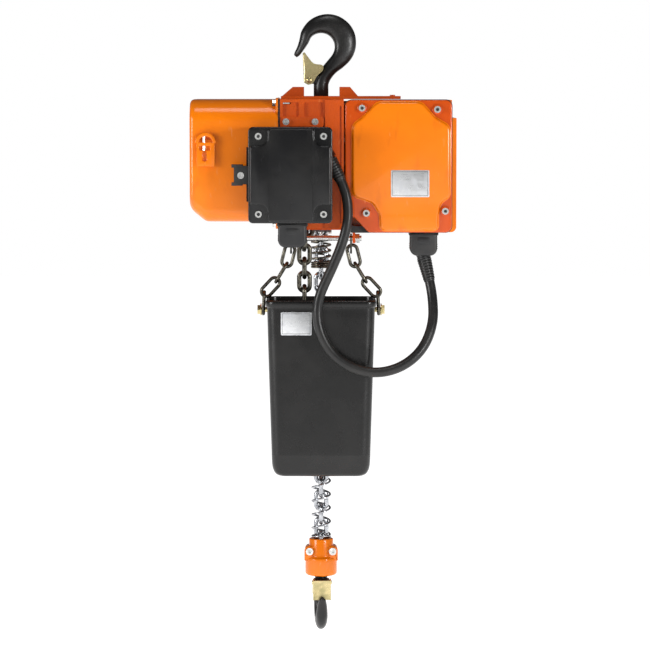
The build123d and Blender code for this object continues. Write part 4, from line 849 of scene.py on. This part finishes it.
pendant_plug = put_piece(
    "pendant_plug_moulding",
    plug_skins(-63.5, -21.0, -318.6, -282.05, -146.0),
    plug_plastic,
    "hoist_body",
    ["pendant_plug"],
)
boot_way = cable_line[-1] - cable_line[-6]
boot_way /= np.linalg.norm(boot_way)
boot_side = np.cross(boot_way, (0.0, 1.0, 0.0))
boot_side /= np.linalg.norm(boot_side)
boot_turn = np.linspace(0.0, 2.0 * math.pi, 40, endpoint=False)
boot_front = np.cross(boot_side, boot_way)
boot_circle = np.cos(boot_turn)[:, None] * boot_side + np.sin(boot_turn)[:, None] * boot_front
boot_reach = np.array([0.1, 0.8, 3.0, 3.6, 7.0, 7.6, 10.0, 12.5])[:, None, None]
boot_size = np.array([9.6, 10.4, 10.4, 9.9, 9.9, 10.6, 10.8, 10.8])[:, None, None]
plug_boot = outward(skin_of_grid(cable_line[-1] + boot_reach * boot_way + boot_size * boot_circle[None]))
supply_plug = put_piece(
    "supply_plug_moulding",
    plug_skins(133.0, 174.0, -333.6, -298.05, -93.0) + [plug_boot],
    plug_plastic,
    "hoist_body",
    ["supply_plug"],
)
refinish(plug_plastic, "side_connector")
refinish(black_plastic, "cable_gland")

# ---- Chain bag ----------------------------------------------------------------------------------
# A stiff bucket of black ABS, drawn over a mould: walls 3 mm thick that taper towards the bottom,
# a crease where the bottom tucks in, slightly crowned faces and a rolled rim for strength.
bag_black = black_finish(
    "bag_black", (0.0050, 0.0048, 0.0046), (0.0105, 0.0100, 0.0095), 0.24, 0.36, 0.0011, 0.00002, 0.40
)
bag_middle = -72.0


def bag_rings(heights, half_x, half_y, corner, crown):
    """Rounded rectangles up the bag. Between its corners each face swells by the crown, a cosine across the face."""
    x, y = box_rings(-half_x, half_x, -half_y, half_y, (corner, corner, corner, corner), 14)
    across = np.clip(x / half_x[:, None], -1, 1)
    deep = np.clip(y / half_y[:, None], -1, 1)
    push_x = crown[:, None] * np.cos(0.5 * math.pi * deep) * across**3
    push_y = crown[:, None] * np.cos(0.5 * math.pi * across) * deep**3
    return np.stack(np.broadcast_arrays(x + 0.4 * push_x, y + push_y + bag_middle, heights[:, None]), -1)


bag_profile = np.array(
    [
        # height, half width, half depth, corner radius, crown
        (-666.0, 50.0, 26.0, 8.0, 0.0),
        (-666.0, 58.0, 33.0, 9.0, 0.0),
        (-665.0, 63.4, 38.0, 10.0, 0.0),
        (-661.5, 68.6, 42.0, 11.5, 0.1),
        (-655.0, 72.0, 44.6, 13.0, 0.3),
        (-647.0, 73.5, 47.4, 13.5, 0.6),
        (-635.0, 74.05, 51.2, 14.0, 0.8),
        (-631.0, 74.1, 51.9, 14.0, 0.9),
        (-626.0, 74.2, 52.05, 14.0, 1.0),
        (-560.0, 76.2, 52.05, 14.0, 1.6),
        (-480.0, 78.6, 52.05, 14.0, 1.6),
        (-430.0, 80.1, 52.0, 14.0, 1.0),
        (-413.0, 80.6, 52.0, 14.0, 0.4),
        (-410.6, 81.0, 52.4, 14.2, 0.0),
        (-409.4, 82.0, 53.2, 14.8, 0.0),
        (-407.5, 82.7, 53.9, 15.2, 0.0),
        (-404.0, 82.9, 54.1, 15.4, 0.0),
        (-401.6, 82.5, 53.7, 15.2, 0.0),
        (-400.3, 81.4, 52.6, 14.6, 0.0),
        (-400.0, 80.2, 51.4, 14.0, 0.0),
        (-400.5, 79.0, 50.2, 13.2, 0.0),
        (-402.5, 78.2, 49.4, 12.6, 0.0),
        (-430.0, 77.1, 49.0, 12.2, 0.6),
        (-560.0, 73.2, 49.0, 12.2, 1.4),
        (-631.0, 71.1, 48.9, 12.2, 0.6),
        (-652.0, 69.0, 42.0, 10.0, 0.1),
        (-660.5, 62.5, 36.0, 8.0, 0.0),
        (-663.0, 50.0, 26.0, 7.0, 0.0),
    ]
)
bag_lines = smooth_line(bag_profile, 4)
chain_bag = put_piece(
    "chain_bag_bucket",
    [outward(skin_of_grid(bag_rings(*bag_lines.T)))],
    bag_black,
    "chain_container",
    ["chain_bag"],
    60.0,
)
refinish(yellow_zinc, "bag_bolts")

# ---- Plates -------------------------------------------------------------------------------------
# Blank aluminium foil plates on the lid and the bag: brushed along their length, a fine printed
# frame line, and a few creases and thumb marks.
label_foil = new_finish("label_foil", (0.72, 0.73, 0.74), 0.34, metallic=0.85)
brush_lines = field(label_foil, 0.0012, 2.0, (0.04, 1.0, 1.0))
thumb_marks = between(label_foil, field(label_foil, 0.012, 2.0), 0.45, 0.62)
drive(
    label_foil, "Base Color", blend_colours(label_foil, thumb_marks, (0.74, 0.75, 0.76), (0.62, 0.63, 0.65))
)
drive(
    label_foil,
    "Roughness",
    between(label_foil, combine(label_foil, brush_lines, thumb_marks, "ADD"), 0.3, 1.6, 0.26, 0.46),
)
relief(label_foil, [(brush_lines, 0.00002), (field(label_foil, 0.02, 2.0), 0.0002)])
# Black print for the plates' frame lines; the same black is also the painted shade in the screw sockets.
plate_ink_and_socket_shade = black_finish("plate_ink_and_socket_shade", (0.02, 0.02, 0.022), (0.05, 0.05, 0.05), 0.40, 0.60, 0.0006, 0.00001)


def plate_frame(x0, x1, z0, z1, back, front, width):
    """Four thin printed bars inside the plate's edge, mitred by overlap."""
    return [
        slab(box_outline(x0, x1, z0, z0 + width, 0.3, 4), back, front, 0.0, 0.02),
        slab(box_outline(x0, x1, z1 - width, z1, 0.3, 4), back, front, 0.0, 0.02),
        slab(box_outline(x0, x0 + width, z0, z1, 0.3, 4), back, front, 0.0, 0.02),
        slab(box_outline(x1 - width, x1, z0, z1, 0.3, 4), back, front, 0.0, 0.02),
    ]


for name, body, span, face in (
    ("rating_plate", "hoist_body", (104.0, 161.0, -245.0, -205.0), -129.5),
    ("bag_label", "chain_container", (-60.0, -14.0, -451.5, -417.0), -125.1),
):
    x0, x1, z0, z1 = span
    foil = put_piece(
        name + "_foil",
        [slab(box_outline(x0, x1, z0, z1, 1.5), face + 0.3, face - 0.6, 0.0, 0.2)],
        label_foil,
        body,
        [name],
    )
    bars = plate_frame(x0 + 2.0, x1 - 2.0, z0 + 2.0, z1 - 2.0, face - 0.58, face - 0.66, 0.5)
    ink = put_piece(name + "_frame", bars, plate_ink_and_socket_shade, body)

# Hexagon sockets in the screw heads: a dark disc in each head is painted shade for the hollow socket.
for name, body, places, floor in (
    ("lid_screw_socket_shade", "hoist_body", lid_screw_places, -128.5),
    ("box_screw_socket_shade", "hoist_body", ((-92.0, -268.5), (4.0, -268.5), (-92.0, -154.0), (4.0, -154.0)), -179.8),
):
    socket_shade_discs = put_piece(
        name,
        [slab(round_outline(x, z, 2.6, 6), floor + 0.3, floor - 0.5, 0.0, 0.0) for x, z in places],
        plate_ink_and_socket_shade,
        body,
    )

# ---- Load chain ---------------------------------------------------------------------------------
# Short-link hoist chain, 7 mm wire and 21 mm pitch, bent and flash-butt welded on one side, then
# zinc plated. Each link hangs a quarter turn from its neighbours.
chain_steel = plated_finish("chain_steel", (0.50, 0.51, 0.53), (0.30, 0.31, 0.33), 0.16, 0.34, 0.006)


def link_skin(wire, inside, width, along=44, around=14):
    """One link: a circle of the wire's size carried round a stadium, thicker by a sixteenth at the weld."""
    bend = 0.5 * (width - wire)
    straight = inside + wire - 2 * bend
    arc = np.linspace(0.0, math.pi, along // 2)
    top = np.stack([bend * np.cos(arc), 0.5 * straight + bend * np.sin(arc)], -1)
    low = -top
    weld_z = np.linspace(0.5 * straight, -0.5 * straight, 9)[1:-1]
    left = np.stack([np.full(7, -bend), weld_z], -1)
    right = -left
    line = np.concatenate([top, left, low, right])
    ahead = np.roll(line, -1, 0) - np.roll(line, 1, 0)
    ahead /= np.linalg.norm(ahead, axis=1)[:, None]
    normal = np.stack([ahead[:, 1], -ahead[:, 0]], -1)
    swell = 1.0 + 0.07 * np.exp(-((line[:, 1] / 1.1) ** 2)) * (line[:, 0] > 0)
    turn = np.linspace(0.0, 2.0 * math.pi, around, endpoint=False)
    radius = 0.5 * wire * swell[:, None]
    flat = line[:, None] + (radius * np.cos(turn))[..., None] * normal[:, None]
    points = np.stack([flat[..., 0], radius * np.sin(turn), flat[..., 1]], -1)
    return outward(skin_of_grid(points, wrap_rows=True, capped=False))


def hung_links(link, count, top, step, first_turn):
    """The link copied down a straight fall, each copy a quarter turn from the last."""
    quarter = (np.arange(count) + first_turn) % 2
    points = link[0]
    turned = np.where(
        quarter[:, None, None] == 0, points[None], points[None][..., [1, 0, 2]] * (-1.0, 1.0, 1.0)
    )
    placed = turned - np.arange(count)[:, None, None] * (0.0, 0.0, step) + top
    faces = np.array(link[1])[None] + np.arange(count)[:, None, None] * len(points)
    return placed.reshape(-1, 3), faces.reshape(-1, faces.shape[-1]).tolist()


first_link_z = 1000.0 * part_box("load_chain")[1].z - 17.55
first_link_turn = round((first_link_z + 212.5) / 21.0)
load_link_count = round((1000.0 * (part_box("load_chain")[1].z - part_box("load_chain")[0].z) - 35.1) / 21.0) + 1
load_chain = put_piece(
    "load_chain_links",
    [hung_links(link_skin(7.0, 21.1, 23.0), load_link_count, (0.0, 0.0, first_link_z), 21.0, first_link_turn)],
    chain_steel,
    "load_block",
    ["load_chain"],
    60.0,
)
refinish(chain_steel, "buffer_spring", "chain_on_sheave", "stored_chain")

# ---- Hook block ---------------------------------------------------------------------------------
# Two orange castings that close round the last link's pin and the hook's nut, drawn together by
# two cap screws in bosses. Paint runs over the turned neck and barrel.
block_high = 1000.0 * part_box("hook_block_front")[1].z
block_low = 1000.0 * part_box("hook_block_front")[0].z
shoulder = block_high - 28.5
turn_fine = np.linspace(0.0, 0.5 * math.pi, 6)
block_profile = np.concatenate(
    [
        [(12.2, block_high - 0.8), (13.2, block_high), (16.9, block_high)],
        [(18.1, block_high - 0.5), (18.6, block_high - 1.7)],
        [(18.6, shoulder + 3.0), (18.9, shoulder + 1.4), (20.0, shoulder + 0.3), (21.3, shoulder)],
        np.stack([21.6 + 3.0 * np.sin(turn_fine), shoulder - 3.0 + 3.0 * np.cos(turn_fine)], -1),
        np.stack([19.6 + 5.0 * np.cos(turn_fine), block_low + 5.0 - 5.0 * np.sin(turn_fine)], -1),
        [(10.4, block_low), (9.7, block_low + 0.7), (9.7, block_low + 8.0), (19.0, block_low + 8.0)],
        [(19.0, shoulder - 5.0), (12.2, shoulder + 5.0)],
    ]
)
around_block = np.linspace(0.0, 2.0 * math.pi, 72, endpoint=False)
block_grid = np.stack(
    np.broadcast_arrays(
        block_profile[:, :1] * np.cos(around_block), block_profile[:, :1] * np.sin(around_block), block_profile[:, 1:]
    ),
    -1,
)
block_skins = [outward(skin_of_grid(block_grid, wrap_rows=True, capped=False))]
boss_z = block_high - 18.5
for side in (-1, 1):
    x = side * 17.8
    boss = rounded_outline(
        [(x - 8.0, shoulder - 5.0), (x + 8.0, shoulder - 5.0), (x + 8.0, boss_z + 8.0), (x - 8.0, boss_z + 8.0)],
        [1.0, 1.0, 7.9, 7.9],
        10,
    )
    block_skins.append(slab(boss, 14.2, -14.2, 1.6, 1.6))
hook_block = put_piece(
    "hook_block_castings",
    block_skins,
    orange_paint,
    "load_block",
    ["hook_block_front", "hook_block_rear"],
    50.0,
)

# ---- Bag slings, hanger and buffer spring -------------------------------------------------------
# Oil-blackened chain and spring steel: nearly black, with brown tints and bright rubbed spots.
dark_chain = plated_finish("dark_chain", (0.150, 0.140, 0.112), (0.045, 0.042, 0.036), 0.22, 0.44, 0.008)
refinish(dark_chain, "bag_slings", "slack_chain", "upper_buffer_spring", "hanger_plates")
zinc = plated_finish("zinc", (0.86, 0.86, 0.84), (0.60, 0.60, 0.58), 0.22, 0.42, 0.005)
refinish(
    zinc, "cover_screws", "housing_bolts", "hanger_rod", "cover_lug_pin", "block_bolts_and_pin", "limit_plate"
)

# ---- Inside parts -------------------------------------------------------------------------------
# Turned and ground steel, cast iron, aluminium, copper and light plastic parts inside the housings,
# each with the marks of how it was made.
steel = plated_finish("steel", (0.50, 0.50, 0.51), (0.36, 0.36, 0.37), 0.22, 0.40, 0.010)
bearing_steel = plated_finish("bearing_steel", (0.66, 0.66, 0.68), (0.52, 0.52, 0.54), 0.10, 0.24, 0.012)
cast_iron = plated_finish("cast_iron", (0.20, 0.20, 0.21), (0.12, 0.12, 0.12), 0.50, 0.72, 0.006)
aluminium = plated_finish("aluminium", (0.68, 0.68, 0.70), (0.55, 0.55, 0.57), 0.32, 0.50, 0.014)
copper = plated_finish("copper", (0.72, 0.33, 0.16), (0.52, 0.22, 0.10), 0.28, 0.46, 0.004)
light_plastic = black_finish(
    "light_plastic", (0.60, 0.59, 0.55), (0.50, 0.48, 0.43), 0.38, 0.55, 0.0012, 0.00004
)
refinish(
    steel,
    "load_sheave",
    "final_gear",
    "countershaft",
    "rotor",
    "brake_armature",
    "upper_hook_nut",
    "lower_hook_nut",
)
refinish(bearing_steel, "sheave_bearings", "hook_thrust_bearing", "lower_thrust_bearing")
refinish(cast_iron, "chain_guides", "chain_outlet", "brake_coil", "brake_disc", "transformer", "motor_stator")
refinish(aluminium, "motor_end_shields", "mounting_plate")
refinish(copper, "windings")
refinish(light_plastic, "contactors", "terminal_block")
